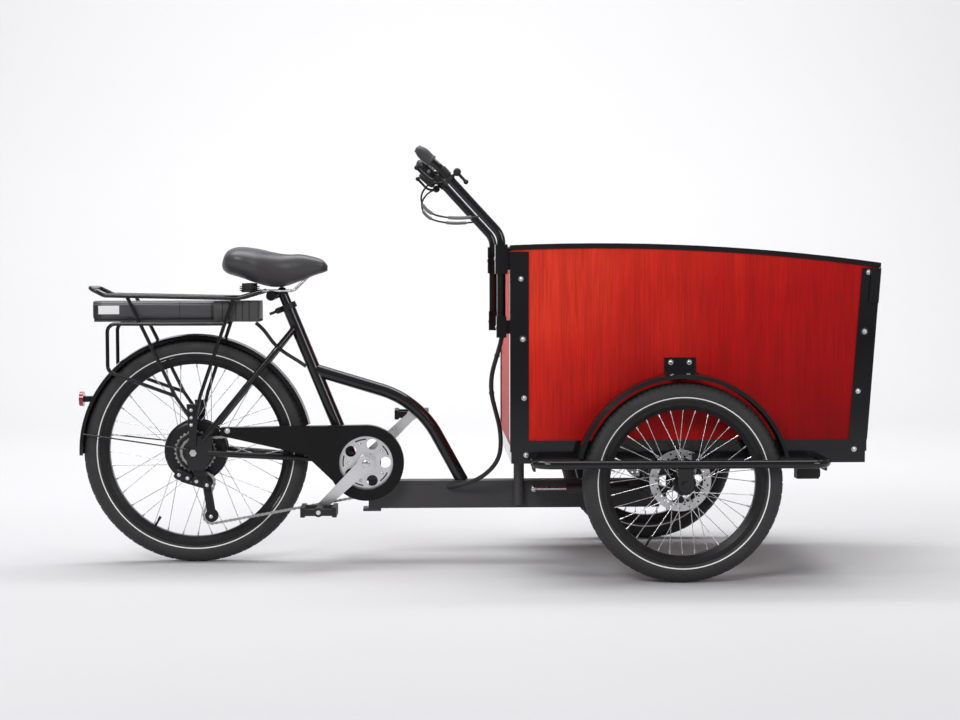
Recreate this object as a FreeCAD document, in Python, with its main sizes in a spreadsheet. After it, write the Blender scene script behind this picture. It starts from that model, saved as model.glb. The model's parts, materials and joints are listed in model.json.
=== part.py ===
import FreeCAD, Part
import math
import os
import re

import Sketcher

# Cargo tricycle: a rear frame with one driven wheel, and a front module with a plywood box
# between two wheels that turns as a whole on a kingpin.
# Millimetres. +X forward, +Z up, -Y the side with the chain; the origin is on the ground below the middle.

Vector = FreeCAD.Vector

SIZES = {
    # Wheels
    "wheelbase": 1285,
    "rear_axle_x": -743,
    "rear_tyre_radius": 307,
    "front_tyre_radius": 257,
    "tyre_section": 54,
    "tyre_wall": 4,
    "bead_depth": 47,
    "rim_depth": 23,
    "rim_width": 36,
    "rim_floor_width": 18,
    "track": 750,
    "spoke_radius": 1,
    "spoke_seat": 2,
    "spoke_stagger": 2,
    "rear_spoke_lean": 20,
    "front_spoke_lean": 40,
    "spoke_rim_offset": 3,
    "nipple_radius": 2.2,
    "nipple_length": 12,
    "axle_radius": 6,
    "nut_radius": 10,
    "nut_height": 7,
    "running_gap": 0.05,
    "side_gap": 0.3,
    # Front hubs and all brake discs
    "front_hub_half": 48,
    "hub_end_radius": 12,
    "hub_barrel_radius": 17,
    "hub_flange_radius": 30,
    "hub_flange_offset": 30,
    "hub_flange_thickness": 3,
    "disc_inset": 41,
    "disc_carrier_radius": 24,
    "disc_carrier_length": 4,
    "disc_radius": 80,
    "disc_thickness": 2,
    "disc_window_radius": 15,
    "disc_window_circle": 43,
    "disc_hole_radius": 2.6,
    "disc_hole_inner_circle": 63,
    "disc_hole_outer_circle": 72,
    "axle_shoulder_radius": 9,
    "caliper_near": 30,
    "caliper_far": 70,
    "caliper_slot_radius": 82,
    "caliper_slot_gap": 1,
    "caliper_half": 8,
    "rear_caliper_drop": 18,
    "caliper_arm_long": 14,
    "caliper_arm_high": 10,
    "caliper_arm_lap": 2,
    "front_caliper_arm_back": 12,
    "front_caliper_arm_drop": 4,
    # Rear hub, cassette and derailleur
    "motor_radius": 80,
    "motor_half_width": 26,
    "motor_bevel": 5,
    "motor_flange_radius": 86,
    "motor_flange_offset": 17.5,
    "freehub_radius": 16.9,
    "freehub_reach": 66,
    "rear_disc_offset": 44,
    "rear_disc_boss_radius": 26,
    "rear_hub_left_reach": 64,
    "dropout_inner": 70,
    "dropout_thickness": 6,
    "cog_pitch": 5,
    "cog_thickness": 1.8,
    "cassette_wall": 2.5,
    "chain_line": 47,
    "chain_pitch": 12.7,
    "chain_width": 6.6,
    "chain_height": 8,
    "ring_teeth": 44,
    "chain_cog_teeth": 18,
    "jockey_teeth": 11,
    "guide_reach": 31,
    "guide_drop": 82,
    "tension_reach": 45,
    "tension_drop": 174,
    "jockey_thickness": 2.4,
    "jockey_hub_radius": 7,
    "jockey_pin_radius": 3,
    "cage_half_gap": 6,
    "cage_thickness": 1.6,
    "cage_half_width": 11,
    "hanger_lap": 9,
    "hanger_front": 28,
    "hanger_back": 8,
    "mech_back": 16,
    "mech_reach": 12,
    # Crank and pedals
    "crank_reach": 466,
    "crank_height": 276,
    "crank_length": 170,
    "crank_angle": 43.8,
    "crank_inner": 72,
    "crank_thickness": 14,
    "crank_boss_radius": 19,
    "crank_end_radius": 14,
    "crank_spindle_radius": 8.5,
    "crank_shell_radius": 22,
    "crank_shell_half": 34,
    "ring_thickness": 4,
    "ring_hub_radius": 24,
    "ring_window_radius": 15,
    "ring_window_circle": 52,
    "pedal_spindle_radius": 6,
    "pedal_inner": 96,
    "pedal_width": 94,
    "pedal_length": 96,
    "pedal_height": 26,
    "pedal_bar": 12,
    "pedal_barrel_radius": 12,
    # Chain guard
    "guard_radius": 103,
    "guard_opening": 73,
    "guard_wall": 2,
    "guard_outer": 66,
    "guard_inner": 36,
    "guard_tail_reach": 72,
    "guard_tail_top": 374,
    "guard_tail_low": 352,
    "guard_waist_reach": 300,
    "guard_waist_low": 300,
    "guard_chin_reach": 378,
    "guard_chin_low": 225,
    "guard_tab_width": 22,
    "guard_hoop_sweep": 190,
    "guard_hoop_start": 100,
    # Rear frame
    "beam_rear_reach": 471,
    "beam_front_reach": 1272,
    "beam_low": 147,
    "beam_high": 222,
    "beam_half_width": 25,
    "beam_wall": 3,
    "beam_foot_rear": 456,
    "beam_foot_front": 505,
    "beam_foot_low": 139,
    "kingpin_setback": 45,
    "kingpin_radius": 15,
    "kingpin_top": 296,
    "kingpin_boss_radius": 30,
    "kingpin_boss_height": 6,
    "support_reach": 883,
    "support_radius": 14.5,
    "support_low": 156,
    "cable_hole_reach": 690,
    "cable_hole_height": 203,
    "cable_hole_radius": 4,
    "seat_top_reach": 250,
    "seat_top_height": 708,
    "seat_foot_reach": 421,
    "seat_foot_height": 290,
    "seat_tube_radius": 17.5,
    "seatpost_radius": 13.6,
    "seatpost_depth": 310,
    "seatpost_length": 330,
    "top_tube_radius": 17.5,
    "top_tube_height": 527,
    "top_tube_bend_reach": 607,
    "top_tube_bend_height": 441,
    "top_tube_foot_reach": 729,
    "top_tube_bend": 260,
    "lug_rear": 405,
    "lug_front": 505,
    "lug_half_width": 18,
    "lug_top": 300,
    "stay_radius": 8,
    "stay_bend": 60,
    "chain_stay_bend_reach": 345,
    "chain_stay_inner": 31,
    "seat_stay_top_reach": 268,
    "seat_stay_top_height": 640,
    "seat_stay_inner": 18,
    "seat_stay_bend_reach": 225,
    "seat_stay_bend_height": 587,
    "seat_stay_bend_width": 46,
    "bridge_share": 0.35,
    "stay_bridge_radius": 6,
    "dropout_rise": 45,
    "dropout_drop": 48,
    "dropout_front": 50,
    "dropout_rear": 20,
    "dropout_heel": 10,
    "dropout_toe": 26,
    "dropout_chin": 14,
    "dropout_crown": 8,
    "chain_stay_rise": 8,
    "chain_stay_rear_reach": 95,
    "chain_stay_rear_drop": 5,
    "chain_stay_lap": 12,
    "seat_stay_lap": 24,
    "seat_stay_drop": 10,
    "collar_radius": 23,
    "collar_height": 16,
    "collar_lug": 14,
    "clamp_pin_radius": 4,
    "clamp_lever_length": 24,
    # Mudguards
    "guard_crown_gap": 13,
    "guard_sheet": 2,
    "guard_half_width": 31,
    "guard_droop": 14,
    "guard_shoulder": 0.75,
    "rear_guard_start": 13,
    "rear_guard_sweep": 169,
    "front_guard_start": 14,
    "front_guard_sweep": 152,
    "front_guard_lift": 11,
    "guard_wire_radius": 2,
    "wire_eye_inset": 6,
    "wire_eye_rise": 10,
    "guard_wire_start": 171,
    "fender_bracket_half": 41,
    "fender_bracket_height": 36,
    "fender_bracket_sheet": 3,
    "reflector_radius": 20,
    "reflector_thickness": 11,
    "reflector_gap": 10.2,
    "reflector_height": 449,
    "reflector_arm_half": 8,
    # Rack and battery
    "rack_tube_radius": 6,
    "rack_leg_radius": 5,
    "rack_half_width": 72,
    "rack_foot_width": 84,
    "rack_bend": 22,
    "rack_rear_back": 275,
    "rack_rear_height": 753,
    "rack_dip_back": 235,
    "rack_dip_height": 733,
    "rack_front_reach": 124,
    "rack_front_height": 725,
    "rack_tip_reach": 188,
    "rack_tip_height": 744,
    "rack_rear_leg_back": 176,
    "rack_rear_knee_back": 46,
    "rack_knee_height": 462,
    "rack_front_leg_reach": 111,
    "rack_front_knee_reach": 21,
    "rack_plate_thickness": 4,
    "rack_plate_top": 440,
    "rack_plate_low": 325,
    "rack_plate_half": 16,
    "rack_leg_tuck": 30,
    "rack_bolt_drop": 12,
    "rack_bolt_radius": 4,
    "loop_height": 656,
    "loop_rear_back": 227,
    "loop_low": 528,
    "crossbar_back": 175,
    "crossbar_reach": 71,
    "battery_back": 268,
    "battery_front": 56,
    "battery_low": 669,
    "battery_high": 717,
    "battery_half_width": 58,
    "battery_round": 12,
    "dock_front": 179,
    "dock_half_width": 44,
    "dock_rib": 3,
    "dock_rib_start": 22,
    "dock_rib_step": 18,
    "dock_rib_rise": 9,
    "dock_cable_radius": 5,
    # Seat
    "saddle_back": 79,
    "saddle_nose": 361,
    "saddle_low": 755,
    "saddle_half_width": 119,
    "saddle_rail_radius": 3.5,
    "saddle_rail_half": 22,
    "seat_head_lap": 6,
    "saddle_rail_gap": 12,
    "saddle_rail_front": 60,
    "saddle_rail_end": 50,
    "saddle_rail_end_half": 8,
    "saddle_rail_end_rise": 30,
    "saddle_rail_height": 744,
    "saddle_clamp_reach": 208,
    "spring_reach": 148,
    "spring_half_spread": 52,
    "spring_radius": 22,
    "spring_core": 16,
    "spring_rib": 5,
    "spring_disc_share": 0.6,
    # Front module
    "box_half_width": 315,
    "box_rear_setback": 436,
    "box_front_reach": 484,
    "box_lean": 0.0708,
    "box_crest_setback": 212,
    "box_crest_height": 868.5,
    "box_top_curve": 5300,
    "rear_panel_top": 858,
    "front_panel_top": 815,
    "panel_thickness": 12,
    "chassis_low": 300,
    "chassis_high": 340,
    "chassis_rail": 25,
    "angle_low": 330,
    "angle_high": 360,
    "sheet_thickness": 3,
    "post_width": 45,
    "post_gap": 1,
    "trim_height": 13,
    "head_radius": 24,
    "axle_tube_radius": 12,
    "axle_plate_inner": 312,
    "axle_plate_outer": 426,
    "axle_plate_thickness": 8,
    "outer_plate_thickness": 6,
    "axle_plate_half": 35,
    "outer_plate_half": 20,
    "axle_plate_low": 230,
    "rail_radius": 11,
    "rail_offset": 432,
    "rail_height": 309,
    "rail_rear_setback": 380,
    "rail_front_reach": 366,
    "rail_bend": 45,
    "support_shoe_front": 930,
    "lamp_reach": 400,
    "lamp_height": 237,
    "lamp_length": 60,
    "lamp_depth": 30,
    "lamp_half_width": 22,
    # Handlebars
    "sleeve_width": 32,
    "sleeve_standoff": 5,
    "sleeve_low": 790,
    "sleeve_high": 866,
    "guide_width": 26,
    "guide_low": 625,
    "guide_high": 680,
    "sleeve_tab_inset": 10,
    "bar_offset": 280,
    "bar_radius": 11.1,
    "bar_bore": 9,
    "bar_low": 633,
    "bar_bend_height": 890,
    "bar_neck_back": 160,
    "bar_neck_height": 1064,
    "bar_end_back": 217,
    "bar_end_height": 1113,
    "bar_lower_bend": 55,
    "bar_upper_bend": 90,
    "grip_radius": 16.5,
    "grip_wing": 26,
    "grip_wing_depth": 10,
    "grip_length": 52,
    "grip_overhang": 3,
    "grip_wing_length": 36.4,
    "grip_bore_extra": 62,
    "perch_drop": 19,
    "perch_radius": 13.5,
    "perch_length": 26,
    "lever_pivot_out": 23,
    "lever_pin_radius": 2.5,
    "lever_thickness": 8,
    "lever_reach": 54,
    "lever_rise": 29,
    "lever_radius": 5,
    "lever_ball_radius": 6.5,
    "lever_eye_radius": 8,
    "lever_blade_radius": 3.52,
    "lever_knee_share": 0.4,
    "lever_knee_drop": 6,
    "ear_radius": 10,
    "ear_link_radius": 2,
    "shifter_drop": 40,
    "shifter_pivot_out": 26,
    "shifter_length": 34,
    "shifter_neck_radius": 4,
    "shifter_neck_across": 8,
    "paddle_radius": 4,
    "paddle_ball_radius": 6.5,
    "hose_radius": 2.5,
    "bundle_radius": 6,
    # Steering damper
    "damper_offset": 70,
    "damper_height": 205,
    "damper_rear_reach": 923,
    "damper_barrel_length": 170,
    "damper_exposed": 88,
    "damper_ball_radius": 10,
    "damper_barrel_radius": 13,
    "damper_rod_radius": 5,
    "damper_pin_radius": 5,
    "damper_play": 2.5,
    "damper_yoke_half": 20,
    "damper_rod_depth": 100,
    "steer_limit": 32,
}

COG_TEETH = (28, 24, 21, 18, 16, 14, 12)
CHAIN_COG = COG_TEETH.index(18)
SPOKES_A_SIDE = 18
DISC_ARMS = 6
DISC_HOLES = 18
RING_ARMS = 5
DOCK_GROOVES = 5
ARC_SHARE = 0.45

doc = FreeCAD.newDocument("cargo_tricycle")
sheet = doc.addObject("Spreadsheet::Sheet", "Sizes")
for row, (alias, value) in enumerate(SIZES.items(), 1):
    sheet.set(f"A{row}", alias.replace("_", " "))
    sheet.set(f"B{row}", str(value))
    sheet.setAlias(f"B{row}", alias)
doc.recompute()

NODES = []


def linked(text):
    """Point every size named in a formula at its cell of the sheet."""
    return re.sub(r"[a-z]\w*", lambda word: ("Sizes." if word[0] in SIZES else "") + word[0], str(text))


def number(text):
    """Work out a formula of sizes as a plain number."""
    return float(sheet.evalExpression(linked(text)))


def point(place):
    return Vector(*[number(text) for text in place])


def bind(thing, **formulas):
    for prop, text in formulas.items():
        thing.setExpression(prop, linked(text))


def locate(thing, place, rotation=None):
    """Bind where a piece stands to the sheet, after turning it if asked."""
    if rotation is not None:
        thing.Placement = FreeCAD.Placement(Vector(), rotation)
    for axis, text in zip("xyz", place):
        thing.setExpression("Placement.Base." + axis, linked(text))


def turn_about(axis, degrees):
    return FreeCAD.Rotation(Vector(*[float(axis == name) for name in "xyz"]), degrees)


ALONG = {"x": turn_about("y", 90), "y": turn_about("x", -90), "z": turn_about("z", 0)}


def block(low, high):
    thing = doc.addObject("Part::Box", "block")
    spans = [f"({top}) - ({bottom})" for bottom, top in zip(low, high)]
    bind(thing, Length=spans[0], Width=spans[1], Height=spans[2])
    locate(thing, low)
    return thing


def rod(axis, radius, start, length):
    thing = doc.addObject("Part::Cylinder", "rod")
    bind(thing, Radius=radius, Height=length)
    locate(thing, start, ALONG[axis])
    return thing


# Degrees that turn a ball so that its seam is clear of the pieces that join it
SEAM_TURN = 250


def ball(radius, centre):
    thing = doc.addObject("Part::Sphere", "ball")
    bind(thing, Radius=radius)
    locate(thing, centre, turn_about("z", SEAM_TURN))
    return thing


def nut(start, flip=1):
    """A hexagon nut along Y, starting at a face and growing outwards."""
    thing = doc.addObject("Part::Prism", "nut")
    thing.Polygon = 6
    bind(thing, Circumradius="nut_radius", Height="nut_height")
    locate(thing, start, turn_about("x", -90 * flip))
    return thing


def strut(radius, start, end):
    """A round bar between two points."""
    first = point(start)
    run = point(end) - first
    thing = doc.addObject("Part::Cylinder", "strut")
    thing.Height = run.Length
    bind(thing, Radius=radius)
    locate(thing, start, FreeCAD.Rotation(Vector(0, 0, 1), run))
    return thing


def rounded_run(points, bend):
    """Straight runs joined by tangent arcs of one bend radius."""
    edges = []
    here = points[0]
    for before, corner, after in zip(points, points[1:], points[2:]):
        into = (corner - before).normalize()
        out = (after - corner).normalize()
        half_turn = into.getAngle(out) / 2
        back = bend * math.tan(half_turn)
        first = corner - into * back
        last = corner + out * back
        middle = corner + (out - into).normalize() * (bend / math.cos(half_turn) - bend)
        edges.append(Part.LineSegment(here, first).toShape())
        edges.append(Part.Arc(first, middle, last).toShape())
        here = last
    edges.append(Part.LineSegment(here, points[-1]).toShape())
    return Part.Wire(edges)


def pipe(radius, stops, bend):
    """A solid round section swept along a rounded run."""
    points = [point(stop) for stop in stops]
    spine = doc.addObject("Part::Feature", "run")
    spine.Shape = rounded_run(points, number(bend))
    ring = doc.addObject("Part::Circle", "section")
    bind(ring, Radius=radius)
    ring.Placement = FreeCAD.Placement(points[0], FreeCAD.Rotation(Vector(0, 0, 1), points[1] - points[0]))
    thing = doc.addObject("Part::Sweep", "pipe")
    thing.Sections = [ring]
    thing.Spine = (spine, [f"Edge{index}" for index in range(1, len(spine.Shape.Edges) + 1)])
    thing.Solid = True
    return thing


def outline(body, role, points):
    """A closed sketch of straight edges with every corner bound to the sheet."""
    sketch = body.newObject("Sketcher::SketchObject", "outline")
    plane = next(item for item in body.Origin.OriginFeatures if item.Role == role)
    sketch.AttachmentSupport = [(plane, "")]
    sketch.MapMode = "FlatFace"
    values = [Vector(number(across), number(up), 0) for across, up in points]
    count = len(values)
    for index in range(count):
        sketch.addGeometry(Part.LineSegment(values[index], values[(index + 1) % count]))
    for index in range(count):
        sketch.addConstraint(Sketcher.Constraint("Coincident", index, 2, (index + 1) % count, 1))
    for index, (across, up) in enumerate(points):
        for kind, text, value in (("DistanceX", across, values[index].x),
                                  ("DistanceY", up, values[index].y)):
            made = sketch.addConstraint(Sketcher.Constraint(kind, -1, 1, index, 1, value))
            sketch.setExpression(f"Constraints[{made}]", linked(text))
    return sketch


def plate(points, low, high, place=(0, 0, 0), rotation=None):
    """An outline in the XZ plane, as thick as the span from low to high in Y."""
    body = doc.addObject("PartDesign::Body", "plate")
    pad = body.newObject("PartDesign::Pad", "pad")
    pad.Profile = outline(body, "XZ_Plane", points)
    pad.Midplane = True
    bind(pad, Length=f"({high}) - ({low})")
    locate(body, (place[0], f"(({low}) + ({high})) / 2", place[2]), rotation)
    return body


def turned(profile, place, sweep=360, rotation=None):
    """A profile of (distance along Y, radius) pairs, turned about Y."""
    body = doc.addObject("PartDesign::Body", "turned")
    turn = body.newObject("PartDesign::Revolution", "turn")
    sketch = outline(body, "XY_Plane", [(radius, along) for along, radius in profile])
    turn.Profile = sketch
    turn.ReferenceAxis = (sketch, ["V_Axis"])
    turn.Reversed = True
    bind(turn, Angle=sweep)
    locate(body, place, rotation)
    return body


def fused(*things):
    made = doc.addObject("Part::MultiFuse", "fused")
    made.Shapes = list(things)
    return made


def grouped(*things):
    made = doc.addObject("Part::Compound", "group")
    made.Links = list(things)
    return made


def cut(base, *tools):
    for tool in tools:
        made = doc.addObject("Part::Cut", "cut")
        made.Base = base
        made.Tool = tool
        base = made
    return base


def common(first, second):
    made = doc.addObject("Part::Common", "common")
    made.Base = first
    made.Tool = second
    return made


def mirrored(thing):
    """The same piece on the other side of the bike."""
    made = doc.addObject("Part::Mirroring", "mirrored")
    made.Source = thing
    made.Normal = Vector(0, 1, 0)
    return made


def both_sides(thing):
    return grouped(thing, mirrored(thing))


def shaped(shape):
    made = doc.addObject("Part::Feature", "shaped")
    made.Shape = shape
    return made


def node(label, thing):
    thing.Label = label
    NODES.append(thing)
    return thing


FRONT = "(rear_axle_x + wheelbase)"
REAR_HUB = ("rear_axle_x", "0", "rear_tyre_radius")
FRONT_HUB = (FRONT, "track/2", "front_tyre_radius")
CRANK = ("(rear_axle_x + crank_reach)", "0", "crank_height")


def rear(reach):
    """A station along X, counted forward from the rear axle."""
    return f"(rear_axle_x + {reach})"


def ahead(reach):
    """A station along X, counted forward from the front axle."""
    return f"({FRONT} + {reach})"


def shifted(place, x=0, y=0, z=0):
    return (f"{place[0]} + {x}", f"{place[1]} + {y}", f"{place[2]} + {z}")


# Wheels


def tyre(radius, hub):
    rings = []
    for section in ("tyre_section/2", "tyre_section/2 - tyre_wall"):
        ring = doc.addObject("Part::Torus", "ring")
        bind(ring, Radius1=f"{radius} - tyre_section/2", Radius2=section)
        locate(ring, hub, turn_about("x", 90))
        rings.append(ring)
    bead = rod("y", f"{radius} - bead_depth", shifted(hub, y="-tyre_section"), "2*tyre_section")
    return cut(*rings, bead)


def rim(radius, hub):
    flange = f"{radius} - bead_depth"
    well = f"{flange} - rim_depth"
    shoulder = f"{flange} - rim_depth/2"
    profile = [("-rim_width/2", flange), ("rim_width/2", flange), ("rim_width/2", shoulder)]
    profile += [("rim_floor_width/2", well), ("-rim_floor_width/2", well), ("-rim_width/2", shoulder)]
    return turned(profile, hub)


def spokes(radius, hub, flange_radius, flange_offset, lean):
    """Crossed spokes that lean forward and back by turns round each flange."""
    centre = point(hub)
    hub_radius = number(f"{flange_radius} - spoke_seat")
    rim_radius = number(f"{radius} - bead_depth - rim_depth + spoke_seat")
    step = 360 / SPOKES_A_SIDE
    made = []
    for side in (-1, 1):
        for index in range(SPOKES_A_SIDE):
            way = 1 if index % 2 else -1
            start_angle = math.radians(index * step + (step / 2 if side > 0 else 0))
            end_angle = start_angle + way * math.radians(number(lean))
            start_y = side * number(flange_offset) + way * number("spoke_stagger")
            start = centre + Vector(hub_radius * math.cos(start_angle), start_y,
                                    hub_radius * math.sin(start_angle))
            end_y = side * number("spoke_rim_offset")
            end = centre + Vector(rim_radius * math.cos(end_angle), end_y, rim_radius * math.sin(end_angle))
            run = end - start
            wire = Part.makeCylinder(number("spoke_radius"), run.Length, start, run)
            seat = end - run * (number("nipple_length") / run.Length)
            nipple = Part.makeCylinder(number("nipple_radius"), number("nipple_length"), seat, run)
            made.append(wire.fuse(nipple))
    return shaped(Part.makeCompound(made))


def ring_of_holes(count, radius, circle, centre, start, depth, offset=0):
    """Round holes along Y, spaced evenly on a circle."""
    holes = []
    for index in range(count):
        angle = (index + offset) * 360 / count
        spot = shifted(centre, x=f"{circle} * cos({angle})", y=start, z=f"{circle} * sin({angle})")
        holes.append(rod("y", radius, spot, depth))
    return grouped(*holes)


def brake_disc(hub, inner_face, bore):
    """A drilled disc with six arms, standing on a hub's carrier."""
    through = "disc_thickness + 2*sheet_thickness"
    start = f"{inner_face} - sheet_thickness"
    blank = rod("y", "disc_radius", shifted(hub, y=inner_face), "disc_thickness")
    centre = rod("y", bore, shifted(hub, y=start), through)
    windows = ring_of_holes(DISC_ARMS, "disc_window_radius", "disc_window_circle", hub, start, through)
    inner = ring_of_holes(DISC_HOLES, "disc_hole_radius", "disc_hole_inner_circle", hub, start, through)
    outer = ring_of_holes(DISC_HOLES, "disc_hole_radius", "disc_hole_outer_circle", hub, start, through,
                          0.5)
    return cut(blank, centre, windows, inner, outer)


BORE = "axle_radius + running_gap"


def front_hub():
    end = "hub_end_radius"
    barrel = "hub_barrel_radius"
    carrier_out = "-disc_inset + disc_carrier_length"
    profile = [("-front_hub_half", BORE), ("-front_hub_half", end), ("-disc_inset", end)]
    profile += [("-disc_inset", "disc_carrier_radius"), (carrier_out, "disc_carrier_radius"),
                (carrier_out, barrel)]
    for flange in ("-hub_flange_offset", "hub_flange_offset"):
        low = f"{flange} - hub_flange_thickness/2"
        high = f"{flange} + hub_flange_thickness/2"
        profile += [(low, barrel), (low, "hub_flange_radius"), (high, "hub_flange_radius"), (high, barrel)]
    profile += [("front_hub_half", end), ("front_hub_half", BORE)]
    disc = brake_disc(FRONT_HUB, "-disc_inset - disc_thickness", f"{end} + running_gap")
    return grouped(turned(profile, FRONT_HUB), disc)


def rear_hub():
    shell = "motor_radius"
    edge = "motor_half_width"
    profile = [("-freehub_reach", BORE), ("-freehub_reach", "freehub_radius"),
               (f"-{edge}", "freehub_radius")]
    profile += [(f"-{edge}", f"{shell} - motor_bevel"), (f"-{edge} + motor_bevel/2", shell)]
    for flange in ("-motor_flange_offset", "motor_flange_offset"):
        low = f"{flange} - hub_flange_thickness/2"
        high = f"{flange} + hub_flange_thickness/2"
        profile += [(low, shell), (low, "motor_flange_radius"), (high, "motor_flange_radius"),
                    (high, shell)]
    profile += [(f"{edge} - motor_bevel/2", shell), (edge, f"{shell} - motor_bevel")]
    profile += [(edge, "rear_disc_boss_radius"), ("rear_disc_offset", "rear_disc_boss_radius")]
    profile += [("rear_disc_offset", "hub_end_radius"), ("rear_hub_left_reach", "hub_end_radius")]
    profile += [("rear_hub_left_reach", BORE)]
    disc = brake_disc(REAR_HUB, "rear_disc_offset", "hub_end_radius + running_gap")
    return grouped(turned(profile, REAR_HUB), disc)


def wheel_nodes(name, radius, hub, hub_piece, flange_radius, flange_offset, lean, side=None):
    pieces = {
        "tyre": tyre(radius, hub),
        "rim": rim(radius, hub),
        "spokes": spokes(radius, hub, flange_radius, flange_offset, lean),
        "hub": hub_piece,
    }
    for part_name, piece in pieces.items():
        node(f"{name}_{part_name}", mirrored(piece) if side == "right" else piece)


wheel_nodes("rear", "rear_tyre_radius", REAR_HUB, rear_hub(), "motor_flange_radius", "motor_flange_offset",
            "rear_spoke_lean")
for side in ("left", "right"):
    wheel_nodes(f"front_{side}", "front_tyre_radius", FRONT_HUB, front_hub(),
                "hub_flange_radius", "hub_flange_offset", "front_spoke_lean", side)


# Drive


def pitch_radius(teeth):
    return f"(chain_pitch / 2 / sin(180 / {teeth}))"


CLEAR_OF_CHAIN = "(chain_height/2 + side_gap)"


def cassette():
    bore = "freehub_radius + running_gap"
    sleeve = f"{bore} + cassette_wall"
    profile = []
    inner_face = f"-chain_line + {CHAIN_COG} * cog_pitch + cog_thickness/2"
    for index, teeth in enumerate(COG_TEETH):
        middle = f"-chain_line + {CHAIN_COG - index} * cog_pitch"
        tip = pitch_radius(teeth)
        if index == CHAIN_COG:
            tip = f"{pitch_radius('chain_cog_teeth')} - {CLEAR_OF_CHAIN}"
        high = f"{middle} + cog_thickness/2"
        low = f"{middle} - cog_thickness/2"
        profile += [(high, sleeve), (high, tip), (low, tip), (low, sleeve)]
    last_face = f"-chain_line + {CHAIN_COG - len(COG_TEETH) + 1} * cog_pitch - cog_thickness/2"
    profile[0] = (inner_face, bore)
    profile[-1] = (last_face, bore)
    return turned(profile, REAR_HUB)


def tangent_loop(wheels):
    """A closed belt line around wheels of (x, z, radius, way): way 1 is clockwise, -1 the other way."""
    count = len(wheels)
    touches = []
    for index in range(count):
        x1, z1, r1, way1 = wheels[index]
        x2, z2, r2, way2 = wheels[(index + 1) % count]
        span = math.hypot(x2 - x1, z2 - z1)
        along = ((x2 - x1) / span, (z2 - z1) / span)
        cosine = (way1 * r1 - way2 * r2) / span
        sine = math.sqrt(1 - cosine ** 2)
        normal = (cosine * along[0] - sine * along[1], cosine * along[1] + sine * along[0])
        touches.append((Vector(x1 + way1 * r1 * normal[0], 0, z1 + way1 * r1 * normal[1]),
                        Vector(x2 + way2 * r2 * normal[0], 0, z2 + way2 * r2 * normal[1])))
    edges = []
    for index in range(count):
        leave, arrive = touches[index]
        x, z, radius, way = wheels[(index + 1) % count]
        depart = touches[(index + 1) % count][0]
        edges.append(Part.LineSegment(leave, arrive).toShape())
        first = math.atan2(arrive.z - z, arrive.x - x)
        last = math.atan2(depart.z - z, depart.x - x)
        sweep = (way * (first - last)) % (2 * math.pi)
        middle_angle = first - way * sweep / 2
        middle = Vector(x + radius * math.cos(middle_angle), 0, z + radius * math.sin(middle_angle))
        edges.append(Part.Arc(arrive, middle, depart).toShape())
    return Part.Wire(edges)


GUIDE = (rear("guide_reach"), "-chain_line", "(rear_tyre_radius - guide_drop)")
TENSION = (rear("tension_reach"), "-chain_line", "(rear_tyre_radius - tension_drop)")


def chain():
    """The chain as one closed band around the chainring, the jockey wheels and the working cog."""
    stops = ((CRANK, "ring_teeth", 1), (TENSION, "jockey_teeth", 1),
             (GUIDE, "jockey_teeth", -1), (REAR_HUB, "chain_cog_teeth", 1))
    lines = []
    for outward in (0.5, -0.5):
        wheels = []
        for place, teeth, way in stops:
            radius = number(f"{pitch_radius(teeth)} + {way * outward} * chain_height")
            wheels.append((number(place[0]), number(place[2]), radius, way))
        lines.append(tangent_loop(wheels))
    band = Part.Face(lines[0]).cut(Part.Face(lines[1]))
    band.translate(Vector(0, number("-chain_line - chain_width/2"), 0))
    return shaped(band.extrude(Vector(0, number("chain_width"), 0)))


def jockey(place):
    """A small toothless guide wheel with a raised hub."""
    rim_radius = f"{pitch_radius('jockey_teeth')} - {CLEAR_OF_CHAIN}"
    hub_half = "cage_half_gap - side_gap"
    bore = "jockey_pin_radius + running_gap"
    half = "jockey_thickness/2"
    profile = [(f"-({hub_half})", bore), (f"-({hub_half})", "jockey_hub_radius"),
               (f"-{half}", "jockey_hub_radius")]
    profile += [(f"-{half}", rim_radius), (half, rim_radius), (half, "jockey_hub_radius")]
    profile += [(hub_half, "jockey_hub_radius"), (hub_half, bore)]
    return turned(profile, place)


def derailleur():
    """Two cage plates with the jockey pins, and the body that hangs them from the dropout."""
    cheeks = []
    for low in ("-chain_line - cage_half_gap - cage_thickness", "-chain_line + cage_half_gap"):
        ends = [rod("y", "cage_half_width", (place[0], low, place[2]),
                    "cage_thickness") for place in (GUIDE, TENSION)]
        corners = []
        for place, way in ((GUIDE, 1), (GUIDE, -1), (TENSION, -1), (TENSION, 1)):
            corners.append((f"{place[0]} + {way} * (cage_half_width - running_gap)", place[2]))
        cheeks += ends + [plate(corners, low, f"{low} + cage_thickness")]
    outer = "-chain_line - cage_half_gap - cage_thickness"
    pin_length = "2*cage_half_gap + 2*cage_thickness"
    pins = [rod("y", "jockey_pin_radius", (place[0], outer, place[2]), pin_length) for place in (GUIDE,
                                                                                                 TENSION)]
    body_rise = "rear_tyre_radius - dropout_drop + hanger_lap"
    corners = [(f"{GUIDE[0]} - mech_back", f"{GUIDE[2]} - mech_reach"),
               (f"{GUIDE[0]} + mech_reach", f"{GUIDE[2]} - mech_reach")]
    corners += [(rear("hanger_front"), body_rise), (rear("-hanger_back"), body_rise)]
    body = plate(corners, "-dropout_inner", outer)
    return fused(*cheeks, *pins, body)


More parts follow.
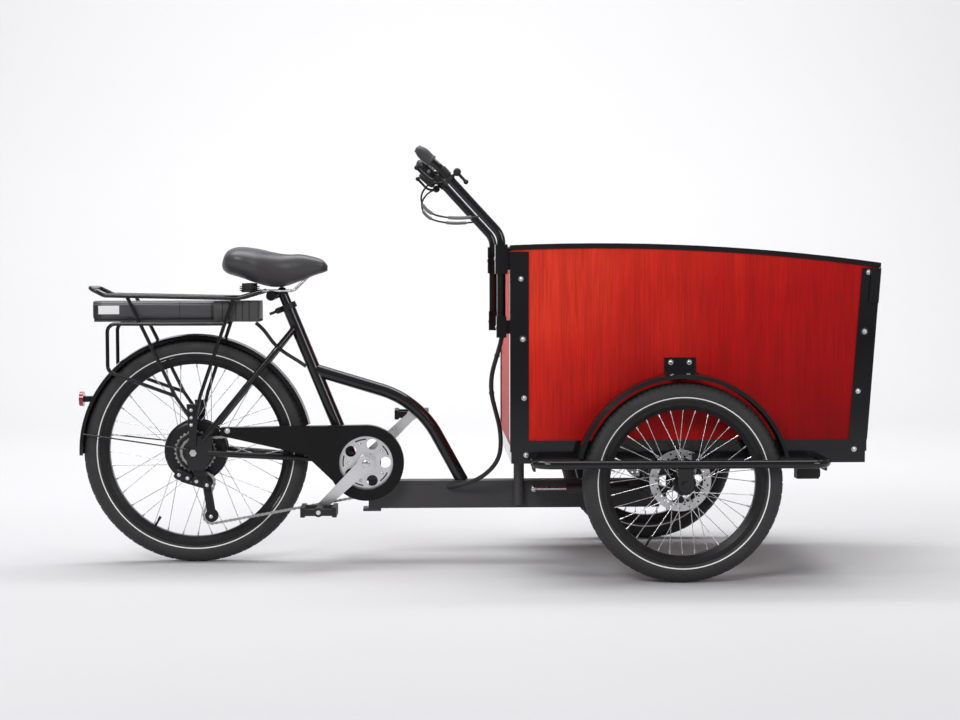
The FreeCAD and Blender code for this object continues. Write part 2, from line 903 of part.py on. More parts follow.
def crank_arm(side, rotation):
    """A tapered arm with its bosses and pedal spindle; side -1 is the chain side."""
    inner = f"{side} * crank_inner"
    outer = f"{side} * (crank_inner + crank_thickness)"
    low, high = (outer, inner) if side < 0 else (inner, outer)
    taper = [("0", "crank_boss_radius"), ("0", "-crank_boss_radius"),
             ("-crank_length", "-crank_end_radius + 2")]
    taper += [("-crank_length", "crank_end_radius - 2")]
    angle = "crank_angle" if side < 0 else "(crank_angle + 180)"
    pedal = pedal_place(side)
    arm = plate(taper, low, high, CRANK, rotation)
    boss = rod("y", "crank_boss_radius", (CRANK[0], low, CRANK[2]), "crank_thickness")
    end = rod("y", "crank_end_radius", (pedal[0], low, pedal[2]), "crank_thickness")
    reach = "pedal_inner + pedal_width - crank_inner + side_gap"
    spindle_low = low if side > 0 else f"-(crank_inner + {reach})"
    spindle = rod("y", "pedal_spindle_radius", (pedal[0], spindle_low, pedal[2]), reach)
    bind(arm, **{"Placement.Rotation.Angle": f"{angle} * -1"})
    return fused(arm, boss, end, spindle)


def pedal_place(side):
    way = -1 if side < 0 else 1
    return (f"({CRANK[0]} + {way} * crank_length * cos(crank_angle))", "0",
            f"({CRANK[2]} + {way} * crank_length * sin(crank_angle))")


def cranks():
    spindle_end = "crank_inner + crank_thickness"
    spindle = rod("y", "crank_spindle_radius", shifted(CRANK, y=f"-({spindle_end})"), f"2*({spindle_end})")
    hole_start = shifted(CRANK, y=f"-({spindle_end} + sheet_thickness)")
    hole = rod("y", "crank_spindle_radius + running_gap", hole_start, "crank_inner")
    turned_arm = turn_about("y", -number("crank_angle"))
    opposite_arm = turn_about("y", -number("crank_angle") - 180)
    node("right_crank", cut(crank_arm(-1, turned_arm), hole))
    node("left_crank", fused(crank_arm(1, opposite_arm), spindle))


def chainring():
    """A pierced disc on a hub that reaches out to the crank arm."""
    radius = f"{pitch_radius('ring_teeth')} - {CLEAR_OF_CHAIN}"
    bore = "crank_spindle_radius + running_gap"
    inner = "-chain_line + ring_thickness/2"
    outer = "-chain_line - ring_thickness/2"
    profile = [(inner, bore), (inner, radius), (outer, radius), (outer, "ring_hub_radius")]
    profile += [("-crank_inner", "ring_hub_radius"), ("-crank_inner", bore)]
    start = f"{outer} - sheet_thickness"
    holes = ring_of_holes(RING_ARMS, "ring_window_radius", "ring_window_circle", CRANK, start,
                          "4*ring_thickness")
    return cut(turned(profile, CRANK), holes)


def pedal(side):
    """A platform of two treads and two cheeks around a barrel."""
    place = pedal_place(side)
    low = "pedal_inner" if side > 0 else "-(pedal_inner + pedal_width)"
    high = f"{low} + pedal_width"
    half = "pedal_length/2"
    rise = "pedal_height/2"
    parts = []
    for start in (f"-{half}", f"{half} - pedal_bar"):
        parts.append(block(shifted((place[0], low, place[2]), x=start, z=f"-{rise}"),
                           shifted((place[0], high, place[2]), x=f"{start} + pedal_bar", z=rise)))
    for start in (low, f"{high} - pedal_bar"):
        parts.append(block(shifted((place[0], start, place[2]), x=f"-{half}", z=f"-{rise} + 4"),
                           shifted((place[0], f"{start} + pedal_bar", place[2]), x=half, z=f"{rise} - 4")))
    parts.append(rod("y", "pedal_barrel_radius", (place[0], low, place[2]), "pedal_width"))
    bore = rod("y", "pedal_spindle_radius + running_gap", (place[0], f"{low} - pedal_bar", place[2]),
               "pedal_width + 2*pedal_bar")
    return cut(fused(*parts), bore)


node("cassette", cassette())
node("chain", chain())
node("jockey_upper", jockey(GUIDE))
node("jockey_lower", jockey(TENSION))
node("derailleur", derailleur())
cranks()
node("chainring", chainring())
node("right_pedal", pedal(-1))
node("left_pedal", pedal(1))


# Rear frame

SEAT_TOP = (rear("seat_top_reach"), "0", "seat_top_height")
SEAT_FOOT = (rear("seat_foot_reach"), "0", "seat_foot_height")
KINGPIN = (ahead("-kingpin_setback"), "0", "beam_high")


def along_seat(height):
    """The point of the seat tube's axis at a height."""
    lean = "(seat_foot_reach - seat_top_reach) / (seat_top_height - seat_foot_height)"
    return (f"(rear_axle_x + seat_top_reach + {lean} * (seat_top_height - ({height})))", "0", f"({height})")


def seat_tube_blank():
    return strut("seat_tube_radius", SEAT_FOOT, SEAT_TOP)


def beyond(start, end, length):
    """The point on the line from start through end, a length past the end."""
    first, last = point(start), point(end)
    reach = last + (last - first).normalize() * number(length)
    return (reach.x, reach.y, reach.z)


def main_beam():
    low = (rear("beam_rear_reach"), "-beam_half_width", "beam_low")
    high = (rear("beam_front_reach"), "beam_half_width", "beam_high")
    tube = block(low, high)
    hollow = block(shifted(low, x="beam_wall", y="beam_wall", z="beam_wall"),
                   shifted(high, x="beam_wall", y="-beam_wall", z="-beam_wall"))
    foot = block((rear("beam_foot_rear"), "-beam_half_width", "beam_foot_low"),
                 (rear("beam_foot_front"), "beam_half_width", "beam_low"))
    hole_start = (rear("cable_hole_reach"), "-beam_half_width - beam_wall", "cable_hole_height")
    hole = rod("y", "cable_hole_radius", hole_start, "3*beam_wall")
    boss = rod("z", "kingpin_boss_radius", KINGPIN, "kingpin_boss_height")
    kingpin = rod("z", "kingpin_radius", KINGPIN, "kingpin_top - beam_high")
    support_y = "-(beam_half_width + support_radius - 1)"
    support = rod("z", "support_radius", (rear("support_reach"), support_y, "support_low"),
                  "chassis_low - side_gap - support_low")
    support = cut(support, block(low, high))
    return fused(cut(tube, hollow, hole), foot, boss, kingpin, support)


def top_tube():
    start = along_seat("top_tube_height")
    bend = (rear("top_tube_bend_reach"), "0", "top_tube_bend_height")
    foot = (rear("top_tube_foot_reach"), "0", "beam_high - beam_wall")
    tube = pipe("top_tube_radius", (start, bend, foot), "top_tube_bend")
    below = block((rear("beam_rear_reach"), "-2*beam_half_width", "beam_low"),
                  (rear("beam_front_reach"), "2*beam_half_width", "beam_high"))
    return cut(tube, seat_tube_blank(), below)


def seat_tube():
    depth_end = beyond(SEAT_FOOT, SEAT_TOP, "-seatpost_depth")
    return cut(seat_tube_blank(),
               strut("seatpost_radius + running_gap", depth_end,
                     beyond(SEAT_FOOT, SEAT_TOP, "collar_height")))


def dropout():
    """The left plate that holds the axle, with the tab below that carries the derailleur on the right."""
    low, high = "dropout_inner", "dropout_inner + dropout_thickness"
    hub = REAR_HUB
    corners = [(f"{hub[0]} - dropout_rear", f"{hub[2]} - dropout_rear"),
               (f"{hub[0]} - dropout_heel", f"{hub[2]} - dropout_drop")]
    corners += [(f"{hub[0]} + dropout_toe", f"{hub[2]} - dropout_drop"),
                (f"{hub[0]} + dropout_front", f"{hub[2]} - dropout_chin")]
    corners += [(f"{hub[0]} + dropout_front", f"{hub[2]} + dropout_rise"),
                (f"{hub[0]} - dropout_crown", f"{hub[2]} + dropout_rise")]
    corners += [(f"{hub[0]} - dropout_rear", f"{hub[2]} + dropout_rear")]
    return cut(plate(corners, low, high),
               rod("y", BORE, shifted(hub, y="dropout_inner - 1"), "dropout_thickness + 2"))




def up_stay(bend, top):
    """A size partway up the seat stays' upper run, where the bridge and the mudguard are held."""
    return f"({bend} + bridge_share * ({top} - {bend}))"


BRIDGE_REACH = up_stay("seat_stay_bend_reach", "seat_stay_top_reach")
BRIDGE_HEIGHT = up_stay("seat_stay_bend_height", "seat_stay_top_height")
BRIDGE_WIDTH = up_stay("seat_stay_bend_width", "seat_stay_inner")


def rear_triangle():
    stay_y = "dropout_inner + dropout_thickness/2"
    chain_stay = pipe("stay_radius", (
        (f"{CRANK[0]} - crank_shell_radius/2", "chain_stay_inner", CRANK[2]),
        (rear("chain_stay_bend_reach"), "chain_stay_inner + 1", "crank_height + chain_stay_rise"),
        (rear("chain_stay_rear_reach"), stay_y, "rear_tyre_radius - chain_stay_rear_drop"),
        (rear("dropout_front - chain_stay_lap"), stay_y, "rear_tyre_radius")), "stay_bend")
    seat_stay = pipe("stay_radius", (
        (rear("seat_stay_top_reach"), "seat_stay_inner", "seat_stay_top_height"),
        (rear("seat_stay_bend_reach"), "seat_stay_bend_width", "seat_stay_bend_height"),
        (rear("dropout_front - seat_stay_lap"), stay_y,
         "rear_tyre_radius + dropout_rise - seat_stay_drop")), "stay_bend")
    bridge = rod("y", "stay_bridge_radius", (rear(BRIDGE_REACH), f"-{BRIDGE_WIDTH}", BRIDGE_HEIGHT),
                 f"2*{BRIDGE_WIDTH}")
    shell = rod("y", "crank_shell_radius", shifted(CRANK, y="-crank_shell_half"), "2*crank_shell_half")
    lug = block((rear("lug_rear"), "-lug_half_width", "beam_high"),
                (rear("lug_front"), "lug_half_width", "lug_top"))
    crown = rod("y", "stay_radius + 2",
                (rear("seat_stay_top_reach"), "-seat_stay_inner",
                 "seat_stay_top_height"), "2*seat_stay_inner")
    halves = []
    for stay in (chain_stay, seat_stay, dropout()):
        halves += [stay, mirrored(stay)]
    bore = rod("y", "crank_spindle_radius + running_gap", shifted(CRANK, y="-2*crank_shell_half"),
               "4*crank_shell_half")
    axle_gap = rod("y", BORE, shifted(REAR_HUB, y="-2*dropout_inner"), "4*dropout_inner")
    return cut(fused(*halves, bridge, shell, lug, crown), bore, axle_gap, seat_tube_blank())


def rear_axle():
    """The fixed axle with its shoulders inside the dropouts and a nut outside each."""
    half = "dropout_inner + dropout_thickness + nut_height + 4"
    axle = rod("y", "axle_radius", shifted(REAR_HUB, y=f"-({half})"), f"2*({half})")
    right = rod("y", "axle_shoulder_radius", shifted(REAR_HUB, y="-dropout_inner"),
                "dropout_inner - freehub_reach - side_gap")
    left = rod("y", "axle_shoulder_radius", shifted(REAR_HUB, y="rear_hub_left_reach + side_gap"),
               "dropout_inner - rear_hub_left_reach - side_gap")
    nuts = [nut(shifted(REAR_HUB, y=f"{way} * (dropout_inner + dropout_thickness)"), way) for way in (1,
                                                                                                      -1)]
    return fused(axle, left, right, *nuts)


def seat_axis():
    """A turn that takes +Z along the seat tube, for pieces clamped round it."""
    return FreeCAD.Rotation(Vector(0, 0, 1), point(SEAT_TOP) - point(SEAT_FOOT))


def on_seat_tube(up, out=0, across=0):
    """A point near the seat tube's top: up along the tube, out behind it, across in Y."""
    turn = seat_axis()
    base = point(SEAT_TOP) + turn.multVec(Vector(-number(out), number(across), number(up)))
    return (base.x, base.y, base.z)


def seat_clamp():
    """A collar round the tube's top with two ears behind it and the lever's pin between them."""
    collar = strut("collar_radius", on_seat_tube("-collar_height"), on_seat_tube("0"))
    ears = doc.addObject("Part::Box", "ears")
    bind(ears, Length="collar_lug", Width="collar_height", Height="collar_height")
    locate(ears, on_seat_tube("-collar_height", "collar_radius + collar_lug - 3", "-collar_height/2"),
           seat_axis())
    bore = strut("seat_tube_radius", on_seat_tube("-2*collar_height"), on_seat_tube("collar_height"))
    pin_at = ("-collar_height/2", "collar_radius + collar_lug/2")
    pin = strut("clamp_pin_radius", on_seat_tube(*pin_at, "-collar_height"),
                on_seat_tube(*pin_at, "collar_height"))
    return cut(fused(collar, ears, pin), bore)


def seat_clamp_lever():
    """A flat lever on the right end of the clamp's pin, pointing to the rear."""
    start = "-collar_height/2"
    pivot = on_seat_tube(start, "collar_radius + collar_lug/2", "-collar_height/2 - side_gap")
    eye = strut("collar_height/2", pivot,
                on_seat_tube(start, "collar_radius + collar_lug/2", "-collar_height"))
    blade = strut("collar_height/4",
                  on_seat_tube(start, "collar_radius + collar_lug/2", "-collar_height*0.75"),
                  on_seat_tube(start, "collar_radius + collar_lug/2 + clamp_lever_length",
                               "-collar_height*0.75"))
    bore = strut("clamp_pin_radius + running_gap",
                 on_seat_tube(start, "collar_radius + collar_lug/2", "-2*collar_height"),
                 on_seat_tube(start, "collar_radius + collar_lug/2", "0"))
    return cut(fused(eye, blade), bore)


node("main_beam", main_beam())
node("top_tube", top_tube())
node("seat_tube", seat_tube())
node("rear_triangle", rear_triangle())
node("rear_axle", rear_axle())
node("seat_clamp", seat_clamp())
node("seat_clamp_lever", seat_clamp_lever())


def chain_guard():
    """A flat face over the chain with a flange along its top and round its front."""
    outer, face = "-guard_outer", "-guard_outer + guard_wall"
    disc = rod("y", "guard_radius", shifted(CRANK, y=outer), "guard_wall")
    tail = [(rear("guard_tail_reach"), "guard_tail_top"), (rear("guard_tail_reach"), "guard_tail_low")]
    tail += [(rear("guard_waist_reach"), "guard_waist_low"), (rear("guard_chin_reach"), "guard_chin_low")]
    tail += [(CRANK[0], CRANK[2]), (CRANK[0], f"{CRANK[2]} + guard_radius")]
    top = [(rear("guard_tail_reach"), "guard_tail_top - guard_wall"),
           (CRANK[0], f"{CRANK[2]} + guard_radius - guard_wall")]
    top += [(CRANK[0], f"{CRANK[2]} + guard_radius"), (rear("guard_tail_reach"), "guard_tail_top")]
    flange = plate(top, outer, "-guard_inner")
    front = [(outer, "guard_radius"), ("-guard_inner", "guard_radius")]
    front += [("-guard_inner", "guard_radius - guard_wall"), (outer, "guard_radius - guard_wall")]
    hoop = turned(front, (CRANK[0], "0", CRANK[2]), "guard_hoop_sweep",
                  turn_about("y", number("guard_hoop_start")))
    tab_at = along_seat("crank_height + guard_radius - 4")
    tab_low = (f"{tab_at[0]} - guard_tab_width/2", "-guard_inner - 2", f"{tab_at[2]} - 1")
    tab_high = (f"{tab_at[0]} + guard_tab_width/2", "0", f"{tab_at[2]} + 2")
    tab = block(tab_low, tab_high)
    window = rod("y", "guard_opening", shifted(CRANK, y=f"{outer} - guard_wall"), "3*guard_wall")
    return cut(fused(disc, plate(tail, outer, face), flange, hoop, tab), window, seat_tube_blank())


def mudguard(radius, hub, start, sweep):
    """A crowned strip of sheet, turned about the wheel's axle through part of a circle."""
    crown = f"{radius} + guard_crown_gap"
    edge = f"{crown} - guard_droop"
    side = "guard_half_width"
    profile = [(f"-{side}", edge), (f"-{side}*guard_shoulder", f"{crown} - guard_droop/4"), ("0", crown)]
    profile += [(f"{side}*guard_shoulder", f"{crown} - guard_droop/4"), (side, edge),
                (f"{side} - guard_sheet", edge)]
    profile += [(f"{side}*guard_shoulder - guard_sheet/2", f"{crown} - guard_droop/4 - guard_sheet"),
                ("0", f"{crown} - guard_sheet")]
    profile += [(f"-{side}*guard_shoulder + guard_sheet/2", f"{crown} - guard_droop/4 - guard_sheet"),
                (f"-{side} + guard_sheet", edge)]
    return turned(profile, hub, sweep, turn_about("y", -number(start)))


def on_circle(hub, radius, angle, across):
    """A point on a circle round a hub, at an angle above forward."""
    return (f"{hub[0]} + ({radius}) * cos({angle})", f"{hub[1]} + {across}",
            f"{hub[2]} + ({radius}) * sin({angle})")


def behind_guard(height):
    """How far behind the axle the rear mudguard's crown lies at a height."""
    return f"sqrt((rear_tyre_radius + guard_crown_gap)^2 - ({height} - rear_tyre_radius)^2)"


REFLECTOR_FACE = f"({behind_guard('reflector_height - reflector_radius')} + reflector_gap)"


def rear_fender():
    crown = "(rear_tyre_radius + guard_crown_gap)"
    strip = mudguard("rear_tyre_radius", REAR_HUB, "rear_guard_start", "rear_guard_sweep")
    wire_start = on_circle(REAR_HUB, f"{crown} - guard_droop + guard_wire_radius", "guard_wire_start",
                           "guard_half_width + 1")
    eye_start = shifted(REAR_HUB, x="-dropout_rear + wire_eye_inset", y="dropout_inner + dropout_thickness",
                        z="wire_eye_rise")
    wire_eye = rod("y", "2*guard_wire_radius", eye_start, "4*guard_wire_radius")
    wire = fused(strut("guard_wire_radius", wire_start, shifted(eye_start, y="3*guard_wire_radius")),
                 wire_eye)
    bridge = Vector(number(BRIDGE_REACH), 0, number(f"{BRIDGE_HEIGHT} - rear_tyre_radius"))
    angle = math.degrees(math.atan2(bridge.z, bridge.x))
    tab = strut("stay_bridge_radius", on_circle(REAR_HUB, f"{crown} - guard_sheet/2", angle, 0),
                on_circle(REAR_HUB, f"{bridge.Length} - stay_bridge_radius - side_gap", angle, 0))
    arm_top = "reflector_height + reflector_arm_half"
    arm_end = rear(f"-{behind_guard(arm_top)} + guard_sheet")
    arm = block((rear(f"-{REFLECTOR_FACE}"), "-reflector_arm_half", "reflector_height - reflector_arm_half"),
                (arm_end, "reflector_arm_half", arm_top))
    inside = rod("y", f"{crown} - guard_sheet/2", shifted(REAR_HUB, y="-guard_half_width"),
                 "2*guard_half_width")
    return fused(strip, wire, mirrored(wire), tab, cut(arm, inside))


def rear_reflector():
    start = (rear(f"-{REFLECTOR_FACE} - reflector_thickness"), "0", "reflector_height")
    return rod("x", "reflector_radius", start, "reflector_thickness")


LOOP_Y = "((rack_half_width + rack_foot_width) / 2)"
DOCK_LOW = "(loop_height + rack_leg_radius)"


def rack_side():
    """The left legs, pannier loop and foot plate of the rack."""
    foot_y = "rack_foot_width"
    rear_knee = (rear("-rack_rear_knee_back"), foot_y, "rack_knee_height")
    front_knee = (rear("rack_front_knee_reach"), foot_y, "rack_knee_height")
    plate_spot = "rack_plate_top - rack_leg_radius"
    rear_leg = pipe("rack_leg_radius", (
        (rear("-rack_rear_leg_back"), "rack_half_width", "rack_dip_height"), rear_knee,
        (rear("-rack_plate_half/2"), foot_y, f"{plate_spot} - rack_leg_tuck")), "rack_bend")
    front_leg = pipe("rack_leg_radius", (
        (rear("rack_front_leg_reach"), "rack_half_width", "rack_front_height"), front_knee,
        (rear("rack_plate_half/2"), foot_y, f"{plate_spot} - rack_leg_tuck")), "rack_bend")
    low, high = "rack_foot_width - rack_plate_thickness/2", "rack_foot_width + rack_plate_thickness/2"
    corners = [(rear("-rack_plate_half"), "rack_plate_top"), (rear("-rack_plate_half/2"), "rack_plate_low")]
    corners += [(rear("rack_plate_half/2"), "rack_plate_low"), (rear("rack_plate_half"), "rack_plate_top")]
    bolt_start = (rear("0"), "dropout_inner + dropout_thickness",
                  "rear_tyre_radius + dropout_rise - rack_bolt_drop")
    bolt = rod("y", "rack_bolt_radius", bolt_start,
               "rack_foot_width + rack_plate_thickness - dropout_inner - dropout_thickness")
    drop = "(rack_front_height - loop_height) / (rack_front_height - rack_knee_height)"
    loop_start = (rear(f"rack_front_leg_reach - {drop} * (rack_front_leg_reach - rack_front_knee_reach)"),
                  f"rack_half_width + {drop} * (rack_foot_width - rack_half_width)", "loop_height")
    loop = pipe("rack_leg_radius", (
        loop_start,
        (rear("-loop_rear_back"), LOOP_Y, "loop_height"),
        (rear("-loop_rear_back"), LOOP_Y, "loop_low"),
        rear_knee), "rack_bend")
    return fused(rear_leg, front_leg, loop, plate(corners, low, high), bolt)


def rear_rack():
    half = "rack_half_width"
    stops = []
    for side in (1, -1):
        arm = [("rack_tip_reach", "rack_tip_height"), ("rack_front_reach", "rack_front_height"),
               ("-rack_dip_back", "rack_dip_height"), ("-rack_rear_back", "rack_rear_height")]
        stops += [(rear(reach), f"{side} * {half}", height) for reach, height in arm[::side]]
    rail = pipe("rack_tube_radius", stops, "rack_bend")
    side = rack_side()
    crossbars = []
    for reach in ("-crossbar_back", "crossbar_reach"):
        spot = (rear(reach), f"-{LOOP_Y}", "loop_height")
        crossbars.append(rod("y", "rack_leg_radius", spot, f"2*{LOOP_Y}"))
    return fused(rail, side, mirrored(side), *crossbars)


def cord(radius, points):
    """A flexible line: each bend as large as its two runs allow."""
    edges = []
    radii = []
    here = points[0]
    for before, corner, after in zip(points, points[1:], points[2:]):
        into = (corner - before).normalize()
        out = (after - corner).normalize()
        half_turn = into.getAngle(out) / 2
        back = ARC_SHARE * min((corner - before).Length, (after - corner).Length)
        bend = back / math.tan(half_turn)
        radii.append(round(bend))
        middle = corner + (out - into).normalize() * (bend / math.cos(half_turn) - bend)
        edges.append(Part.LineSegment(here, corner - into * back).toShape())
        edges.append(Part.Arc(corner - into * back, middle, corner + out * back).toShape())
        here = corner + out * back
    edges.append(Part.LineSegment(here, points[-1]).toShape())
    spine = doc.addObject("Part::Feature", "route")
    spine.Shape = Part.Wire(edges)
    ring = doc.addObject("Part::Circle", "section")
    bind(ring, Radius=radius)
    ring.Placement = FreeCAD.Placement(points[0], FreeCAD.Rotation(Vector(0, 0, 1), points[1] - points[0]))
    thing = doc.addObject("Part::Sweep", "cord")
    thing.Sections = [ring]
    thing.Spine = (spine, [f"Edge{index}" for index in range(1, len(spine.Shape.Edges) + 1)])
    thing.Solid = True
    doc.recompute()
    section = math.pi * number(radius) ** 2
    share = thing.Shape.Volume / (section * spine.Shape.Length)
    print("cord", round(spine.Shape.Length), "long, bend radii", radii, "volume share", round(share, 4))
    return thing


# Battery cable, in steps from the dock's lower front corner to the seat tube: forward, left, up
DOCK_CABLE_ROUTE = (
    (-14, -14, -4.1), (4, -14, -19), (19, -14, -39), (34, -14, -60),
    (54, -14, -79), (78, -14, -95), (103, -14, -110), (122.5, -14, -124),
)


def battery_dock():
    """The rail plate under the battery, the ribbed block in front of it and the cable to the seat tube."""
    base = block((rear("-battery_back"), "-dock_half_width", DOCK_LOW),
                 (rear("dock_front"), "dock_half_width", "battery_low - side_gap"))
    head = block((rear("battery_front + side_gap"), "-battery_half_width", DOCK_LOW),
                 (rear("dock_front"), "battery_half_width", "battery_high"))
    grooves = []
    for index in range(DOCK_GROOVES):
        start = f"battery_front + dock_rib_start + {index} * dock_rib_step"
        for side in (1, -1):
            middle = f"{side} * battery_half_width"
            grooves.append(block((rear(start), f"{middle} - dock_rib", f"{DOCK_LOW} + dock_rib_rise"),
                                 (rear(f"{start} + dock_rib"), f"{middle} + dock_rib",
                                  "battery_high + dock_rib")))
    corner = point((rear("dock_front"), "0", DOCK_LOW))
    cable = cord("dock_cable_radius", [corner + Vector(*step) for step in DOCK_CABLE_ROUTE])
    return grouped(cut(fused(base, head), grouped(*grooves)), cable)


def battery():
    """A flat case with its long edges rounded."""
    case = block((rear("-battery_back"), "-battery_half_width", "battery_low"),
                 (rear("battery_front"), "battery_half_width", "battery_high"))
    long_edges = []
    doc.recompute()
    for index, edge in enumerate(case.Shape.Edges, 1):
        if edge.BoundBox.XLength > number("battery_half_width"):
            long_edges.append((index, number("battery_round"), number("battery_round")))
    round_case = doc.addObject("Part::Fillet", "round_case")
    round_case.Base = case
    round_case.Edges = long_edges
    return round_case


SLOT_HALF = "(disc_thickness/2 + caliper_slot_gap)"
CALIPER_SIZE = "(caliper_far - caliper_near)"


def caliper_body(hub, disc_mid, reach, rise):
    """A block with a slot that the disc runs in."""
    half = f"({SLOT_HALF} + caliper_half)"
    body = block(shifted(hub, x=reach, y=f"{disc_mid} - {half}", z=rise),
                 shifted(hub, x=f"{reach} + {CALIPER_SIZE}", y=f"{disc_mid} + {half}",
                         z=f"{rise} + {CALIPER_SIZE}"))
    slot = rod("y", "caliper_slot_radius", shifted(hub, y=f"{disc_mid} - {SLOT_HALF}"), f"2*{SLOT_HALF}")
    return cut(body, slot)


def rear_caliper():
    """A brake caliper astride the rear disc, on an arm from the left dropout."""
    disc_mid = "rear_disc_offset + disc_thickness/2"
    reach, rise = "caliper_near", "(caliper_near - rear_caliper_drop)"
    body = caliper_body(REAR_HUB, disc_mid, reach, rise)
    arm_low = shifted(REAR_HUB, x=reach, y=f"{disc_mid} + {SLOT_HALF}", z=f"{rise} - caliper_arm_lap")
    arm_high = shifted(REAR_HUB, x=f"{reach} + caliper_arm_long", y="dropout_inner",
                       z=f"{rise} + caliper_arm_high")
    return fused(body, block(arm_low, arm_high))


node("chain_guard", chain_guard())
node("rear_fender", rear_fender())
node("rear_reflector", rear_reflector())
node("rear_rack", rear_rack())
node("battery_dock", battery_dock())
node("battery", battery())
node("rear_caliper", rear_caliper())


# Seat


def seatpost():
    """The post in its tube, with a head that carries the saddle's rails behind it."""
    low = on_seat_tube("-seatpost_depth + collar_height")
    high = beyond(low, SEAT_TOP, "seatpost_length - seatpost_depth + collar_height")
    clamp = (rear("saddle_clamp_reach"), "0", "saddle_rail_height - saddle_rail_radius")
    post = strut("seatpost_radius", low, high)
    head = rod("y", "seatpost_radius",
               (rear("saddle_clamp_reach"), "-saddle_rail_half - seat_head_lap",
                "saddle_rail_height - seatpost_radius"), "2*(saddle_rail_half + seat_head_lap)")
    neck = strut("seatpost_radius - 3", high, shifted(clamp, z="-seatpost_radius"))
    seats = []
    for way in (-1, 1):
        spot = (rear("saddle_back"), f"{way} * saddle_rail_half", "saddle_rail_height")
        seats.append(rod("x", "saddle_rail_radius + running_gap", spot, "saddle_nose - saddle_back"))
    return cut(fused(post, ball("seatpost_radius", high), head, neck), *seats)


def spring(way):
    """A ribbed elastomer block between the saddle and the rails' rear ends."""
    spot = (rear("spring_reach"), f"{way} * spring_half_spread", "saddle_rail_height")
    height = "saddle_low - saddle_rail_height + 2*spring_rib"
    parts = [rod("z", "spring_core", spot, height)]
    for index in range(3):
        parts.append(rod("z", "spring_radius", shifted(spot, z=f"{index} * spring_rib"),
                         "spring_rib*spring_disc_share"))
    return fused(*parts)


def saddle_frame():
    rails = []
    for way in (-1, 1):
        y = f"{way} * saddle_rail_half"
        rails.append(pipe("saddle_rail_radius", (
            (rear("spring_reach - spring_core"), f"{way} * spring_half_spread", "saddle_rail_height"),
            (rear("spring_reach + spring_radius + saddle_rail_gap"), y, "saddle_rail_height"),
            (rear("saddle_clamp_reach + saddle_rail_front"), y, "saddle_rail_height"),
            (rear("saddle_nose - saddle_rail_end"), f"{way} * saddle_rail_end_half",
             "saddle_low + saddle_rail_end_rise")), "spring_core"))
    bar = rod("y", "saddle_rail_radius",
              (rear("spring_reach"), "-spring_half_spread", "saddle_rail_height"), "2*spring_half_spread")
    return fused(*rails, bar, spring(-1), spring(1))


# Saddle from back to nose: shares of its length and half width, underside and crown above its low edge
SADDLE_STATIONS = (
    (0.00, 0.55, 43, 72),
    (0.06, 0.86, 34, 102),
    (0.16, 1.00, 26, 111),
    (0.32, 0.94, 10, 107),
    (0.46, 0.68, 0, 98),
    (0.58, 0.48, 1, 92),
    (0.74, 0.33, 16, 90),
    (0.88, 0.27, 32, 82),
    (0.96, 0.21, 39, 73),
    (1.00, 0.12, 43, 60),
)

# Side of a saddle section from the underside up: shares of its half width and of its height
SADDLE_SIDE = ((0.72, 0), (0.97, 0.3), (0.96, 0.62))


def saddle_section(station, half, low, crown):
    """A crowned cross-section whose sides draw in towards a flat underside."""
    base = number("saddle_low") + low
    top = number("saddle_low") + crown
    left = [Vector(station, -half * share, base + rise * (top - base)) for share, rise in SADDLE_SIDE]
    right = [Vector(spot.x, -spot.y, spot.z) for spot in left]
    edges = [Part.LineSegment(right[0], left[0]), Part.Arc(left[0], left[1], left[2])]
    edges += [Part.Arc(left[2], Vector(station, 0, top), right[2]), Part.Arc(right[2], right[1], right[0])]
    return Part.Wire([edge.toShape() for edge in edges])


def saddle_cushion():
    length = number("saddle_nose - saddle_back")
    sections = []
    for share, width, low, crown in SADDLE_STATIONS:
        station = number(rear("saddle_back")) + share * length
        sections.append(saddle_section(station, width * number("saddle_half_width"), low, crown))
    return shaped(Part.makeLoft(sections, True, False))


CUSHION = saddle_cushion()
node("seatpost", seatpost())
node("saddle_frame", cut(saddle_frame(), CUSHION))
node("saddle_cushion", CUSHION)


# Front module

BOX_REAR = ahead("-box_rear_setback")


def box_front(height):
    """The outer face of the leaning front panel at a height."""
    return f"({FRONT} + box_front_reach + box_lean * (({height}) - chassis_high))"


def under_crest(drop):
    """The space below the box's arched top edge."""
    start = (ahead("-box_crest_setback"), "-2*box_half_width", "box_crest_height - box_top_curve")
    return rod("y", f"box_top_curve - ({drop})", start, "4*box_half_width")


def side_blank(low, high, bottom, grow=0):
    top = "box_crest_height + trim_height"
    corners = [(f"{BOX_REAR} - {grow}", bottom), (f"{box_front(bottom)} + {grow}", bottom)]
    corners += [(f"{box_front(top)} + {grow}", top), (f"{BOX_REAR} - {grow}", top)]
    return plate(corners, low, high)


def side_panel():
    return common(side_blank("box_half_width - panel_thickness", "box_half_width", "chassis_high"),
                  under_crest("sheet_thickness"))


def leaning_board(low, high, bottom, top, start, end):
    """A board parallel to the leaning front, between two distances from its outer face."""
    corners = [(f"{box_front(bottom)} + {start}", bottom), (f"{box_front(bottom)} + {end}", bottom)]
    corners += [(f"{box_front(top)} + {end}", top), (f"{box_front(top)} + {start}", top)]
    return plate(corners, low, high)


INSIDE = "box_half_width - panel_thickness"


def rear_panel():
    return block((BOX_REAR, f"-({INSIDE})", "chassis_high"),
                 (f"{BOX_REAR} + panel_thickness", INSIDE, "rear_panel_top"))


def front_panel():
    return leaning_board(f"-({INSIDE})", INSIDE, "chassis_high", "front_panel_top", "-panel_thickness", "0")


def floor_panel():
    front = f"{box_front('chassis_high')} - panel_thickness"
    return block((f"{BOX_REAR} + panel_thickness", f"-({INSIDE})", "chassis_high"),
                 (front, INSIDE, "chassis_high + panel_thickness"))


